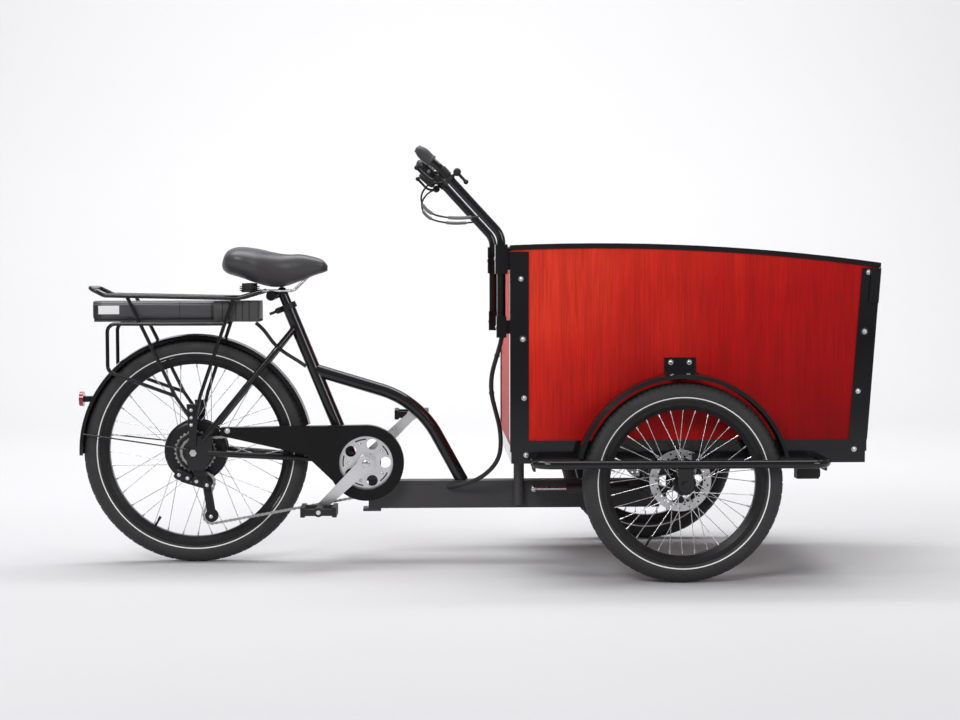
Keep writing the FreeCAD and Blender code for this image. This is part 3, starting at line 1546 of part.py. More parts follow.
def top_trim():
    """Channels over the top edges of the four panels."""
    grow = "sheet_thickness"
    blank = side_blank(f"{INSIDE} - {grow}", f"box_half_width + {grow}", "chassis_high", grow)
    channel = cut(common(blank, under_crest("0")), under_crest("trim_height"), side_panel(), rear_panel(),
                  front_panel())
    inner = f"{INSIDE} - {grow} - side_gap"
    rear_low = (f"{BOX_REAR} - {grow}", f"-({inner})", "rear_panel_top + sheet_thickness - trim_height")
    rear_high = (f"{BOX_REAR} + panel_thickness + {grow}", inner, "rear_panel_top + sheet_thickness")
    rear_cap = cut(block(rear_low, rear_high), rear_panel())
    front_cap = leaning_board(f"-({inner})", inner, "front_panel_top + sheet_thickness - trim_height",
                              "front_panel_top + sheet_thickness", f"-panel_thickness - {grow}", grow)
    return grouped(channel, mirrored(channel), rear_cap, cut(front_cap, front_panel()))


def corner_posts():
    """Folded sheet angles over the four upright corners, below the edge trim."""
    low, high = "box_half_width", "box_half_width + sheet_thickness"
    leaf = "box_half_width - post_width"
    rear_top = "rear_panel_top + sheet_thickness - trim_height - post_gap"
    front_top = "front_panel_top + sheet_thickness - trim_height - post_gap"
    rear_side = block((f"{BOX_REAR} - sheet_thickness", low, "angle_high"),
                      (f"{BOX_REAR} + post_width", high, rear_top))
    rear_leaf = block((f"{BOX_REAR} - sheet_thickness", leaf, "angle_high"), (BOX_REAR, low, rear_top))
    front_side = leaning_board(low, high, "angle_high", front_top, "-post_width", "sheet_thickness")
    front_leaf = leaning_board(leaf, low, "angle_high", front_top, "0", "sheet_thickness")
    catch = leaning_board(high, f"{high} + 2*sheet_thickness", f"{front_top} - 2*post_width", front_top,
                          "-post_width/2", "sheet_thickness")
    rear_post = common(fused(rear_side, rear_leaf), under_crest("trim_height"))
    front_post = common(fused(front_side, front_leaf, catch), under_crest("trim_height"))
    return grouped(rear_post, mirrored(rear_post), front_post, mirrored(front_post))


def front_chassis():
    """The welded base frame with the steering head, the axle tube, the stub axles and the edge angles."""
    low, high = "chassis_low", "chassis_high"
    side, rail = "box_half_width", "chassis_rail"
    front = box_front("chassis_high")
    long_rail = block((BOX_REAR, f"{side} - {rail}", low), (front, side, high))
    angle = block((f"{BOX_REAR} - sheet_thickness", side, "angle_low"),
                  (f"{front} + sheet_thickness", f"{side} + sheet_thickness", "angle_high"))
    inner_plate = block((ahead("-axle_plate_half"), "axle_plate_inner", "axle_plate_low"),
                        (ahead("axle_plate_half"), "axle_plate_inner + axle_plate_thickness", "angle_low"))
    stub_end = "axle_plate_outer + outer_plate_thickness + nut_height + 2"
    hub = (FRONT, "0", "front_tyre_radius")
    stub = rod("y", "axle_radius", shifted(hub, y="axle_plate_inner"), f"{stub_end} - axle_plate_inner")
    inner_face = "axle_plate_inner + axle_plate_thickness"
    inner_shoulder = rod("y", "axle_shoulder_radius", shifted(hub, y=inner_face),
                         f"track/2 - front_hub_half - side_gap - ({inner_face})")
    hub_end = "track/2 + front_hub_half + side_gap"
    outer_shoulder = rod("y", "axle_shoulder_radius", shifted(hub, y=hub_end),
                         f"axle_plate_outer - ({hub_end})")
    stub_nut = nut(shifted(hub, y="axle_plate_outer + outer_plate_thickness"))
    halves = []
    for piece in (long_rail, angle, inner_plate, stub, inner_shoulder, outer_shoulder, stub_nut):
        halves += [piece, mirrored(piece)]
    across = f"{side} - {rail}"
    beams = []
    stations = ((BOX_REAR, f"{BOX_REAR} + {rail}"), (f"{front} - {rail}", front),
                (f"{KINGPIN[0]} - 2*head_radius", f"{KINGPIN[0]} + 2*head_radius"))
    for start, end in stations:
        beams.append(block((start, f"-({across})", low), (end, across, high)))
    shoe = block((BOX_REAR, f"-({across})", low),
                 (rear("support_shoe_front"), across, f"{low} + 2*sheet_thickness"))
    head_low = "beam_high + kingpin_boss_height + side_gap"
    head = rod("z", "head_radius", (KINGPIN[0], "0", head_low), f"{low} - ({head_low})")
    socket = rod("z", "kingpin_radius + running_gap", (KINGPIN[0], "0", "beam_high"), f"{low} - beam_high")
    axle_tube = rod("y", "axle_tube_radius", shifted(hub, y="-axle_plate_inner"), "2*axle_plate_inner")
    pin_low = "damper_height - damper_yoke_half"
    pin = rod("z", "damper_pin_radius", (KINGPIN[0], "-damper_offset", pin_low), f"{low} - ({pin_low})")
    return fused(*halves, *beams, shoe, cut(head, socket), cut(axle_tube, socket), pin)


def side_rails():
    """A bent tube outside each front wheel, with the plate that holds the stub axle's outer end."""
    foot = "box_half_width"
    run = pipe("rail_radius", (
        (ahead("-rail_rear_setback"), foot, "rail_height"),
        (ahead("-rail_rear_setback"), "rail_offset", "rail_height"),
        (ahead("rail_front_reach"), "rail_offset", "rail_height"),
        (ahead("rail_front_reach"), foot, "rail_height")), "rail_bend")
    low, high = "axle_plate_outer", "axle_plate_outer + outer_plate_thickness"
    hanger = block((ahead("-outer_plate_half"), low, "front_tyre_radius"),
                   (ahead("outer_plate_half"), high, "rail_height"))
    boss = rod("y", "outer_plate_half", (FRONT, low, "front_tyre_radius"), "outer_plate_thickness")
    hole = rod("y", BORE, (FRONT, f"{low} - outer_plate_thickness", "front_tyre_radius"),
               "3*outer_plate_thickness")
    gussets = []
    for reach in ("-rail_rear_setback", "rail_front_reach"):
        spot = ahead(reach)
        gussets.append(block((f"{spot} - sheet_thickness", foot, "rail_height - 2*rail_radius"),
                             (f"{spot} + sheet_thickness", "rail_offset - rail_bend", "rail_height")))
    return both_sides(cut(fused(run, hanger, boss, *gussets), hole))


def front_fenders():
    """Mudguards on folded brackets from the side panels."""
    strip = mudguard("front_tyre_radius + front_guard_lift", FRONT_HUB, "front_guard_start",
                     "front_guard_sweep")
    top = "front_tyre_radius*2 + front_guard_lift + guard_crown_gap"
    half, sheet_gauge = "fender_bracket_half", "fender_bracket_sheet"
    back = block((ahead(f"-{half}"), "box_half_width", f"{top} - {sheet_gauge}"),
                 (ahead(half), f"box_half_width + {sheet_gauge}", f"{top} + fender_bracket_height"))
    shelf = block((ahead(f"-{half}"), "box_half_width", f"{top} - {sheet_gauge}"),
                  (ahead(half), "track/2", top))
    clear = rod("y", "front_tyre_radius + front_guard_lift + guard_crown_gap - guard_sheet",
                (FRONT, "0", "front_tyre_radius"), "track")
    return both_sides(fused(strip, back, cut(shelf, clear)))


def front_calipers():
    """A caliper astride each front disc, bolted to the inner axle plate."""
    hub, near = FRONT_HUB, "caliper_near"
    disc_mid = "-disc_inset - disc_thickness/2"
    body = caliper_body(hub, disc_mid, near, near)
    arm_low = (f"{hub[0]} + {near} - front_caliper_arm_back", "axle_plate_inner + axle_plate_thickness",
               f"{hub[2]} + {near} - front_caliper_arm_drop")
    arm_high = shifted(hub, x=f"{near} + {CALIPER_SIZE}/2", y=f"{disc_mid} - {SLOT_HALF}",
                       z=f"{near} + {CALIPER_SIZE}/2")
    return both_sides(fused(body, block(arm_low, arm_high)))


def headlamp():
    """A small lamp on a strap below the front of the box."""
    mid = ahead("lamp_reach")
    case = block((f"{mid} - lamp_length/2", "-lamp_half_width", "lamp_height - lamp_depth/2"),
                 (f"{mid} + lamp_length/2", "lamp_half_width", "lamp_height + lamp_depth/2"))
    lens = rod("x", "lamp_depth/2 - 1", (f"{mid} + lamp_length/2", "0", "lamp_height"), "2*sheet_thickness")
    strap = block((f"{mid} - lamp_depth/3", "-lamp_half_width/2", "lamp_height"),
                  (f"{mid} + lamp_depth/3", "lamp_half_width/2", "chassis_low"))
    bar = block((f"{mid} - lamp_depth", "-box_half_width + chassis_rail", "chassis_low"),
                (f"{mid} + lamp_depth", "box_half_width - chassis_rail", "chassis_low + 4*sheet_thickness"))
    return fused(case, lens, strap, bar)


node("front_chassis", front_chassis())
node("box_panels", grouped(side_panel(), mirrored(side_panel()), rear_panel(), front_panel(),
                           floor_panel()))
node("top_trim", top_trim())
node("corner_posts", corner_posts())
node("side_rails", side_rails())
node("front_fenders", front_fenders())
node("front_calipers", front_calipers())
node("headlamp", headlamp())


# Handlebars

SLEEVE_FRONT = f"({BOX_REAR} - sheet_thickness - sleeve_standoff)"
SLEEVE_X = f"({SLEEVE_FRONT} - sleeve_width/2)"
NECK = (f"({SLEEVE_X} - bar_neck_back)", "bar_offset", "bar_neck_height")
BAR_END = (f"({SLEEVE_X} - bar_end_back)", "bar_offset", "bar_end_height")
BAR_BEND = (SLEEVE_X, "bar_offset", "bar_bend_height")


def bar_clamp(width, low, high):
    """A square block that the bar slides in, on a tab from the box's corner post."""
    half = f"{width}/2"
    body = block((f"{SLEEVE_X} - {half}", f"bar_offset - {half}", low),
                 (f"{SLEEVE_X} + {half}", f"bar_offset + {half}", high))
    tab = block((SLEEVE_X, f"bar_offset - {half}/2", f"{low} + sleeve_tab_inset"),
                (f"{BOX_REAR} - sheet_thickness", f"bar_offset + {half}/2", f"{high} - sleeve_tab_inset"))
    bore_start = (SLEEVE_X, "bar_offset", f"{low} - sheet_thickness")
    bore = rod("z", "bar_radius + running_gap", bore_start, f"{high} - {low} + 2*sheet_thickness")
    return cut(fused(body, tab), bore)


def handlebar_sleeve():
    """The upper sleeve and the narrower guide below it."""
    upper = bar_clamp("sleeve_width", "sleeve_low", "sleeve_high")
    return grouped(upper, bar_clamp("guide_width", "guide_low", "guide_high"))


def handlebar():
    stops = ((SLEEVE_X, "bar_offset", "bar_low"), BAR_BEND, NECK, BAR_END)
    bends = rounded_bar("bar_radius", stops)
    return cut(bends, rounded_bar("bar_bore", stops))


def rounded_bar(radius, stops):
    """The bar's two bends differ, so it is two pipes that meet on the straight between them."""
    middle = [f"(({first}) + ({last})) / 2" for first, last in zip(stops[1], stops[2])]
    lower = pipe(radius, (stops[0], stops[1], middle), "bar_lower_bend")
    upper = pipe(radius, (middle, stops[2], stops[3]), "bar_upper_bend")
    return fused(lower, upper)


def on_neck(down, out, across="0"):
    """A point near the bar's neck: down along the straight, out below it, across in Y."""
    slope = (point(BAR_BEND) - point(NECK)).normalize()
    below = Vector(-abs(slope.z), 0, -abs(slope.x))
    spot = point(NECK) + slope * number(down) + below * number(out) + Vector(0, number(across), 0)
    return (spot.x, spot.y, spot.z)


def grip():
    """A rubber sleeve on the bar's end with a flat wing for the palm."""
    start = beyond(NECK, BAR_END, "-grip_length")
    end = beyond(NECK, BAR_END, "grip_overhang")
    tube = strut("grip_radius", start, end)
    run = (point(BAR_END) - point(NECK)).normalize()
    wing = doc.addObject("Part::Box", "wing")
    bind(wing, Length="grip_wing_depth", Width="2*grip_wing", Height="grip_wing_length")
    base = Vector(*beyond(NECK, BAR_END, "grip_overhang - grip_wing_length")) - Vector(0,
                                                                                       number("grip_wing"), 0)
    turn = FreeCAD.Rotation(Vector(0, 0, 1), run)
    base = base + turn.multVec(Vector(number("grip_radius") - number("grip_wing_depth"), 0, 0))
    locate(wing, (base.x, base.y, base.z), turn)
    bore = strut("bar_radius", beyond(NECK, BAR_END, "-grip_bore_extra"), BAR_END)
    return cut(fused(tube, wing), bore)


def lever_pivot(across="0"):
    return on_neck("perch_drop", "lever_pivot_out", across)


def lever_perch():
    """The clamp on the bar with the two ears and the pin that the brake lever hangs on."""
    band = strut("perch_radius", on_neck("perch_drop - perch_length/2", "0"),
                 on_neck("perch_drop + perch_length/2", "0"))
    half = "lever_thickness/2 + side_gap"
    ears = []
    for way in (-1, 1):
        inner = f"{way} * ({half})"
        outer = f"{way} * ({half} + lever_radius)"
        ears.append(strut("ear_radius", lever_pivot(inner), lever_pivot(outer)))
        ears.append(strut("ear_link_radius",
                          on_neck("perch_drop", "perch_radius/2", f"{way} * ({half} + lever_radius/2)"),
                          lever_pivot(f"{way} * ({half} + lever_radius/2)")))
    pin = strut("lever_pin_radius", lever_pivot(f"-({half} + lever_radius)"),
                lever_pivot(f"{half} + lever_radius"))
    bore = strut("bar_radius", on_neck("perch_drop - 2*perch_length", "0"),
                 on_neck("perch_drop + 2*perch_length", "0"))
    return cut(fused(band, *ears, pin), bore)


def brake_lever():
    """A blade from the pivot to a ball end below the grip."""
    pivot = lever_pivot()
    tip = (pivot[0] - number("lever_reach"), pivot[1], pivot[2] + number("lever_rise"))
    knee = (pivot[0] - number("lever_reach * lever_knee_share"), pivot[1],
            pivot[2] - number("lever_knee_drop"))
    blade = pipe("lever_blade_radius", (pivot, knee, tip), "lever_reach / 2")
    eye = strut("lever_eye_radius", lever_pivot("-lever_thickness/2"), lever_pivot("lever_thickness/2"))
    hole = strut("lever_pin_radius + running_gap", lever_pivot("-lever_thickness"),
                 lever_pivot("lever_thickness"))
    return cut(fused(blade, eye, ball("lever_ball_radius", tip)), hole)


def shifter_pivot(across="0"):
    return on_neck("shifter_drop", "-shifter_pivot_out", across)


def shifter():
    """The gear shifter's clamp and drum on the right bar, on the upper side."""
    drop = "shifter_drop"
    band = strut("perch_radius", on_neck(f"{drop} - lever_radius", "0"),
                 on_neck(f"{drop} + lever_radius", "0"))
    drum = strut("2*lever_radius", shifter_pivot("side_gap"), shifter_pivot("3*lever_radius"))
    neck = strut("shifter_neck_radius", on_neck(drop, "-bar_radius", "shifter_neck_across"),
                 on_neck(drop, "-shifter_pivot_out + lever_radius", "shifter_neck_across"))
    pin = strut("lever_pin_radius", shifter_pivot("-2*lever_radius"), shifter_pivot("lever_radius"))
    bore = strut("bar_radius", on_neck(f"{drop} - perch_length", "0"),
                 on_neck(f"{drop} + perch_length", "0"))
    return mirrored(fused(cut(band, bore), drum, neck, pin))


def shift_lever():
    """A thumb paddle on the shifter's pin."""
    pivot = shifter_pivot("-lever_radius")
    tip = on_neck("shifter_drop + shifter_length", "-shifter_pivot_out", "-lever_radius")
    eye = strut("2*lever_radius", shifter_pivot("-2*lever_radius"), shifter_pivot("0"))
    paddle = fused(strut("paddle_radius", pivot, tip), ball("paddle_ball_radius", tip))
    hole = strut("lever_pin_radius + running_gap", shifter_pivot("-4*lever_radius"),
                 shifter_pivot("2*lever_radius"))
    return mirrored(cut(fused(eye, paddle), hole))


# Routes of the brake hoses, as points from the left lever perch: forward, inward and up
HOSE_ROUTE = (
    (0, 9.5, 0), (-11, 20, -5), (-29, 29, -17), (-44, 34, -40), (-40, 36, -68), (-14, 36, -90),
    (22, 33, -98), (58, 26, -100), (88, 17, -98), (107.6, 10, -96),
)


def brake_hose():
    """A hose that leaves the perch to the rear, loops below the bar and runs down beside it."""
    base = point(on_neck("perch_drop", "lever_pivot_out"))
    points = [base + Vector(x, -y, z) for x, y, z in HOSE_ROUTE]
    return cord("hose_radius", points)


# Cable bundle, in steps from the right guide's lower end to the hole in the beam: forward, left, up
BUNDLE_ROUTE = (
    (6, 19, 45), (4, 23, 2), (-10, 40, -50), (-24, 54, -100), (-24, 70, -150), (-12, 88, -196), (0, 110,
                                                                                                 -240),
    (5, 134, -284), (2, 158, -326), (-16, 182, -360), (-46, 202, -388), (-80, 220, -405), (-112, 234, -415),
    (-134, 249.8, -421),
)


def cable_bundle():
    """The cables from both bars, bound together down the back of the box and into the beam."""
    start = point((SLEEVE_X, "-bar_offset", "guide_low"))
    points = [start + Vector(x, y, z) for x, y, z in BUNDLE_ROUTE]
    return cord("bundle_radius", points)


node("handlebar_sleeves", both_sides(handlebar_sleeve()))
for side, facing in (("left", lambda piece: piece), ("right", mirrored)):
    node(f"{side}_handlebar", facing(handlebar()))
    node(f"{side}_grip", facing(grip()))
    controls = [facing(lever_perch()), facing(brake_hose())]
    if side == "right":
        controls.append(shifter())
    node(f"{side}_controls", grouped(*controls))
    node(f"{side}_brake_lever", facing(brake_lever()))
node("shift_lever", shift_lever())
node("cable_bundle", cable_bundle())


# Steering damper

DAMPER_BALL = (rear("damper_rear_reach"), "-damper_offset", "damper_height")
DAMPER_PIN = (KINGPIN[0], "-damper_offset", "damper_height")
BARREL_START = f"{DAMPER_BALL[0]} + damper_exposed"


def damper_rod():
    """The rod, held to the beam by a ball on a bracket at its rear end."""
    bracket = block(shifted(DAMPER_BALL, x="-damper_rod_radius", z="-damper_rod_radius"),
                    (f"{DAMPER_BALL[0]} + damper_rod_radius", "-beam_half_width",
                     "damper_height + damper_rod_radius"))
    shaft = rod("x", "damper_rod_radius", DAMPER_BALL, "damper_exposed + damper_rod_depth")
    return fused(bracket, ball("damper_ball_radius", DAMPER_BALL), shaft)


def damper_barrel():
    """The cylinder that strokes along the rod; its front yoke takes the pin below the steering head."""
    start = (BARREL_START, DAMPER_BALL[1], DAMPER_BALL[2])
    half = "damper_yoke_half"
    barrel = rod("x", "damper_barrel_radius", start, "damper_barrel_length")
    neck_start = shifted(start, x="damper_barrel_length - damper_barrel_radius")
    neck = rod("x", "damper_rod_radius", neck_start,
               f"{DAMPER_PIN[0]} - {half} - ({neck_start[0]}) + damper_play")
    bore = rod("x", "damper_rod_radius + running_gap", shifted(start, x="-damper_play"),
               "damper_barrel_length - damper_barrel_radius")
    swing = "damper_offset * (1 - cos(steer_limit))"
    slot_half = "damper_pin_radius + damper_play"
    edge = f"{slot_half} + 3*damper_play"
    rise = "damper_rod_radius + damper_play"
    yoke = block(shifted(DAMPER_PIN, x=f"-{half}", y=f"-({edge})", z=f"-({rise})"),
                 shifted(DAMPER_PIN, x=half, y=f"{edge} + {swing}", z=rise))
    slot = block(shifted(DAMPER_PIN, x=f"-({slot_half})", y=f"-({slot_half})", z=f"-{half}"),
                 shifted(DAMPER_PIN, x=slot_half, y=f"{slot_half} + {swing}", z=half))
    return fused(cut(barrel, bore), neck, cut(yoke, slot))


node("damper_rod", damper_rod())
node("damper_barrel", damper_barrel())


# Check every object, then write one file for each sub-part

doc.recompute()
faults = [item.Name for item in doc.Objects if "Invalid" in item.State or "Error" in item.State]
for item in NODES:
    if item.Shape.isNull() or not item.Shape.isValid() or not item.Shape.Solids:
        faults.append(item.Label)
if faults:
    raise SystemExit(f"failed objects: {faults}")

os.makedirs("parts", exist_ok=True)
whole = FreeCAD.BoundBox()
for item in NODES:
    item.Shape.exportStep(os.path.join("parts", item.Label + ".step"))
    whole.add(item.Shape.BoundBox)
print(len(NODES), "sub-parts written, overall", whole)
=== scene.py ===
# %% [markdown]
# A cargo tricycle: a red plywood box between two front wheels, and a low black frame with one
# driven wheel behind. The solids come in as a fixed frame in metres. Everything below dresses that
# frame: finishes for the solids that already have their shape, and new meshes for what solids show
# poorly, such as tread, chain links, hoses and padding.

# %% Load the frame
import json
import math

import bmesh
import bpy
from mathutils import Matrix, Vector


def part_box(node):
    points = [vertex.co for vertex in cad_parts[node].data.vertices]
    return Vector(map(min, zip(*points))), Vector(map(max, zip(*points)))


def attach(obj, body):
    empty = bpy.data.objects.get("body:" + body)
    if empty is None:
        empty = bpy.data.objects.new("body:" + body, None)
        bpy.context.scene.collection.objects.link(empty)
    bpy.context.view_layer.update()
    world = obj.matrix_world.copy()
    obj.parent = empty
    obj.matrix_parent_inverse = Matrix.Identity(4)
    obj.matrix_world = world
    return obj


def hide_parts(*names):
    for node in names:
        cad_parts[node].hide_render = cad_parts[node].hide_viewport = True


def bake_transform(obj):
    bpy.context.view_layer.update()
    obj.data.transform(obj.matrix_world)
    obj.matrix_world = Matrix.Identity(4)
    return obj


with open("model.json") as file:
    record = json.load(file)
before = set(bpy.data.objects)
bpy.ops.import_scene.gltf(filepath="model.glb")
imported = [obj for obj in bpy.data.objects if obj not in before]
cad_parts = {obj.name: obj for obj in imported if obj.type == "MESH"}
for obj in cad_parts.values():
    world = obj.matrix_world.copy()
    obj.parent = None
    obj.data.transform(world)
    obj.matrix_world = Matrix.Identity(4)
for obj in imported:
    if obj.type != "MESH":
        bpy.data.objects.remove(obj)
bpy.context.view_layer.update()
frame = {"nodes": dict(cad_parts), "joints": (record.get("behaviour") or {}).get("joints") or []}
NODES = frame["nodes"]
JOINTS = {joint["name"]: joint for joint in frame["joints"]}


def pivot(joint_name):
    return Vector(JOINTS[joint_name]["pos_m"])


def linked(name, data):
    made = bpy.data.objects.new(name, data)
    bpy.context.scene.collection.objects.link(made)
    return made


MM = 0.001
SIDES = ("left", "right")
X_AXIS, Y_AXIS = Vector((1, 0, 0)), Vector((0, 1, 0))

# %% [markdown]
# The camera stands about five metres from the chain side, at about the saddle's height, and looks
# slightly down. A long lens keeps the two wheel sizes comparable. The values were fitted to the
# outlines of the three tyres and the corners of the box, so the frame lies on the photograph
# without any shift of the lens.

# %% Camera
CAMERA_SPOT = Vector((-0.111, -4.818, 0.800))
CAMERA_YAW = math.radians(-1.738)
CAMERA_PITCH = math.radians(-2.939)
CAMERA_ROLL = math.radians(-0.071)
FOCAL_PIXELS = 1752.8
IMAGE_WIDTH = 960
SENSOR_WIDTH = 36.0

camera_data = bpy.data.cameras.new("camera")
camera_data.sensor_width = SENSOR_WIDTH
camera_data.lens = FOCAL_PIXELS * SENSOR_WIDTH / IMAGE_WIDTH
camera_data.clip_end = 100
camera = linked("camera", camera_data)
aim = Matrix.Rotation(CAMERA_YAW, 4, "Z") @ Matrix.Rotation(math.pi / 2 + CAMERA_PITCH, 4, "X")
camera.matrix_world = Matrix.Translation(CAMERA_SPOT) @ aim @ Matrix.Rotation(CAMERA_ROLL, 4, "Z")
bpy.context.scene.camera = camera
print("lens", round(camera_data.lens, 2), "mm")

# %% [markdown]
# The studio is a white sweep: a floor that curves up into a wall, so that no horizon shows. Large
# area lamps give the long soft highlights on the black tubes. The standard view transform keeps
# whites white, as in a catalogue.

# %% Studio
SWEEP_FRONT = -40.0
SWEEP_BACK = 4.0
SWEEP_HALF_WIDTH = 40.0
SWEEP_RADIUS = 3.0
SWEEP_TOP = 9.0
ARC_STEPS = 24


def sweep_line():
    line = [(SWEEP_FRONT, 0.0)]
    for step in range(ARC_STEPS + 1):
        angle = math.pi / 2 * step / ARC_STEPS
        line.append((SWEEP_BACK + SWEEP_RADIUS * math.sin(angle), SWEEP_RADIUS * (1 - math.cos(angle))))
    line.append((SWEEP_BACK + SWEEP_RADIUS, SWEEP_TOP))
    return line


def new_object(name, vertices, faces):
    mesh = bpy.data.meshes.new(name)
    mesh.from_pydata([tuple(vertex) for vertex in vertices], [], faces)
    return linked(name, mesh)


def smooth_faces(mesh):
    for polygon in mesh.polygons:
        polygon.use_smooth = True


def studio_sweep():
    line = sweep_line()
    vertices = [(side * SWEEP_HALF_WIDTH, y, z) for y, z in line for side in (-1, 1)]
    faces = [(2 * i, 2 * i + 1, 2 * i + 3, 2 * i + 2) for i in range(len(line) - 1)]
    made = new_object("studio_sweep", vertices, faces)
    smooth_faces(made.data)
    return made


def area_lamp(name, spot, target, size, power):
    data = bpy.data.lights.new(name, "AREA")
    data.shape = "RECTANGLE"
    data.size, data.size_y = size
    data.energy = power
    lamp = linked(name, data)
    lamp.location = spot
    lamp.rotation_euler = (Vector(target) - Vector(spot)).to_track_quat("-Z", "Y").to_euler()


SWEEP = studio_sweep()
# name, place, point aimed at, width and height in metres, power in watts
LAMPS = (
    ("key", (-2.4, -4.4, 3.8), (0, 0, 0.5), (2.6, 1.6), 170),
    ("fill", (3.6, -4.0, 2.2), (0.4, 0, 0.4), (2.0, 1.6), 60),
    ("top", (0, 0.4, 4.8), (0, 0.2, 0), (6.0, 3.0), 260),
    ("wall", (0, 1.6, 5.6), (0, 6.4, 1.2), (10.0, 1.2), 370),
)
for lamp in LAMPS:
    area_lamp(*lamp)
WORLD_COLOUR = (1.0, 1.0, 1.02, 1)
WORLD_STRENGTH = 0.26
world = bpy.data.worlds.new("studio")
world.use_nodes = True
background = world.node_tree.nodes["Background"].inputs
background["Color"].default_value = WORLD_COLOUR
background["Strength"].default_value = WORLD_STRENGTH
bpy.context.scene.world = world
bpy.context.scene.view_settings.view_transform = "Standard"
print("studio with", len(SWEEP.data.polygons), "strips")

# %% [markdown]
# Every finish is procedural. A small class wraps a node's output, so that sums of textures read
# like ordinary Python: each operator adds one Math node. The finish itself has a single method that
# adds any kind of node.

# %% Tools for finishes
# the span that most of a noise's values lie in
NOISE_LOW, NOISE_HIGH = 0.3, 0.7


def operator(operation, swapped=False):
    """A method that joins two values with one Math node."""
    def join(signal, other):
        pair = (other, signal) if swapped else (signal, other)
        return signal.finish.calc(operation, *pair)

    return join


class Signal:
    """A node's output that joins in Python sums."""

    def __init__(self, finish, socket):
        self.finish = finish
        self.socket = socket

    __add__ = operator("ADD")
    __sub__ = operator("SUBTRACT")
    __rsub__ = operator("SUBTRACT", swapped=True)
    __mul__ = operator("MULTIPLY")
    __pow__ = operator("POWER")
    __lt__ = operator("LESS_THAN")
    __gt__ = operator("GREATER_THAN")


class Finish:
    """A material with one surface shader and a method that adds nodes to it."""

    def __init__(self, name, **constants):
        self.material = bpy.data.materials.new(name)
        self.material.use_nodes = True
        self.tree = self.material.node_tree
        self.shader = self.tree.nodes["Principled BSDF"]
        for socket, value in constants.items():
            self.set(socket.replace("_", " ").title().replace("Ior", "IOR"), value)

    def feed(self, socket, value):
        if isinstance(value, Signal):
            self.tree.links.new(value.socket, socket)
        else:
            socket.default_value = value

    def set(self, socket, value):
        self.feed(self.shader.inputs[socket], value)

    def node(self, kind, settings=None, inputs=None, output=0):
        made = self.tree.nodes.new(kind)
        for name, value in (settings or {}).items():
            if name == "stops":
                self.set_stops(made.color_ramp, value)
            else:
                setattr(made, name, value)
        for name, value in (inputs or {}).items():
            self.feed(made.inputs[name], value)
        return Signal(self, made.outputs[output])

    def set_stops(self, ramp, stops):
        while len(ramp.elements) < len(stops):
            ramp.elements.new(1.0)
        for element, (position, colour) in zip(ramp.elements, stops):
            element.position = position
            element.color = colour

    def place(self):
        return self.node("ShaderNodeTexCoord", output="Object")

    def axes(self):
        """The point's three distances from the frame's origin."""
        split = self.node("ShaderNodeSeparateXYZ", inputs={0: self.place()})
        outputs = split.socket.node.outputs
        return [Signal(self, outputs[index]) for index in range(3)]

    def noise(self, scale, detail=3.0, roughness=0.55, stretch=(1, 1, 1)):
        spot = self.node("ShaderNodeMapping", inputs={"Vector": self.place(), "Scale": stretch})
        return self.node("ShaderNodeTexNoise", inputs={
            "Vector": spot, "Scale": scale, "Detail": detail, "Roughness": roughness})

    def cells(self, feature, scale):
        inputs = {"Vector": self.place(), "Scale": scale}
        return self.node("ShaderNodeTexVoronoi", {"feature": feature}, inputs)

    def mix(self, share, first, second):
        return self.node("ShaderNodeMix", {"data_type": "RGBA"}, {0: share, 6: first, 7: second}, 2)

    def ramp(self, value, *stops):
        return self.node("ShaderNodeValToRGB", {"stops": stops}, {0: value})

    def span(self, value, low, high, to_low=0.0, to_high=1.0):
        """Stretch a value from one span to another and clamp it there."""
        return self.node("ShaderNodeMapRange", inputs={0: value, 1: low, 2: high, 3: to_low, 4: to_high})

    def calc(self, operation, *values):
        return self.node("ShaderNodeMath", {"operation": operation}, dict(enumerate(values)))

    def colour(self, share, first, second):
        self.set("Base Color", self.mix(share, first, second))

    def rough(self, noise, low, high):
        """Let the roughness follow a noise between two values."""
        self.set("Roughness", self.span(noise, NOISE_LOW, NOISE_HIGH, low, high))

    def bump(self, height, strength, distance):
        self.set("Normal", self.node("ShaderNodeBump", inputs={
            "Height": height, "Strength": strength, "Distance": distance}))


def shade(red, green=None, blue=None):
    return (red, red if green is None else green, red if blue is None else blue, 1.0)


def from_axle(finish, centre):
    """Distance of a point from a wheel's axle, which runs along Y."""
    x, _, z = finish.axes()
    dx = x - centre.x
    dz = z - centre.z
    return (dx * dx + dz * dz) ** 0.5


def mottled(name, dark, light, roughness, cloud, grain, relief, **constants):
    """Two tones and a roughness that follow a slow noise, and a bump that follows a fine one."""
    finish = Finish(name, metallic=0.0, **constants)
    slow = finish.noise(*cloud)
    finish.colour(slow, shade(*dark), shade(*light))
    finish.rough(slow, *roughness)
    finish.bump(finish.noise(*grain), *relief)
    return finish.material


print("finish tools ready")

# %% [markdown]
# The frame, the mudguards and the box's edging are gloss black paint. Real paint is never quite
# even: a slow noise shifts its roughness as if it had been wiped by hand, and a very fine bump
# gives the skin of sprayed lacquer.

# %% Black paints


def moulded_resin(name, dark, light):
    return mottled(name, (dark,), (light,), roughness=(0.45, 0.62), cloud=(30.0, 3.0), grain=(1500.0, 2.0),
                   relief=(0.2, 0.0003), specular_ior_level=0.3)


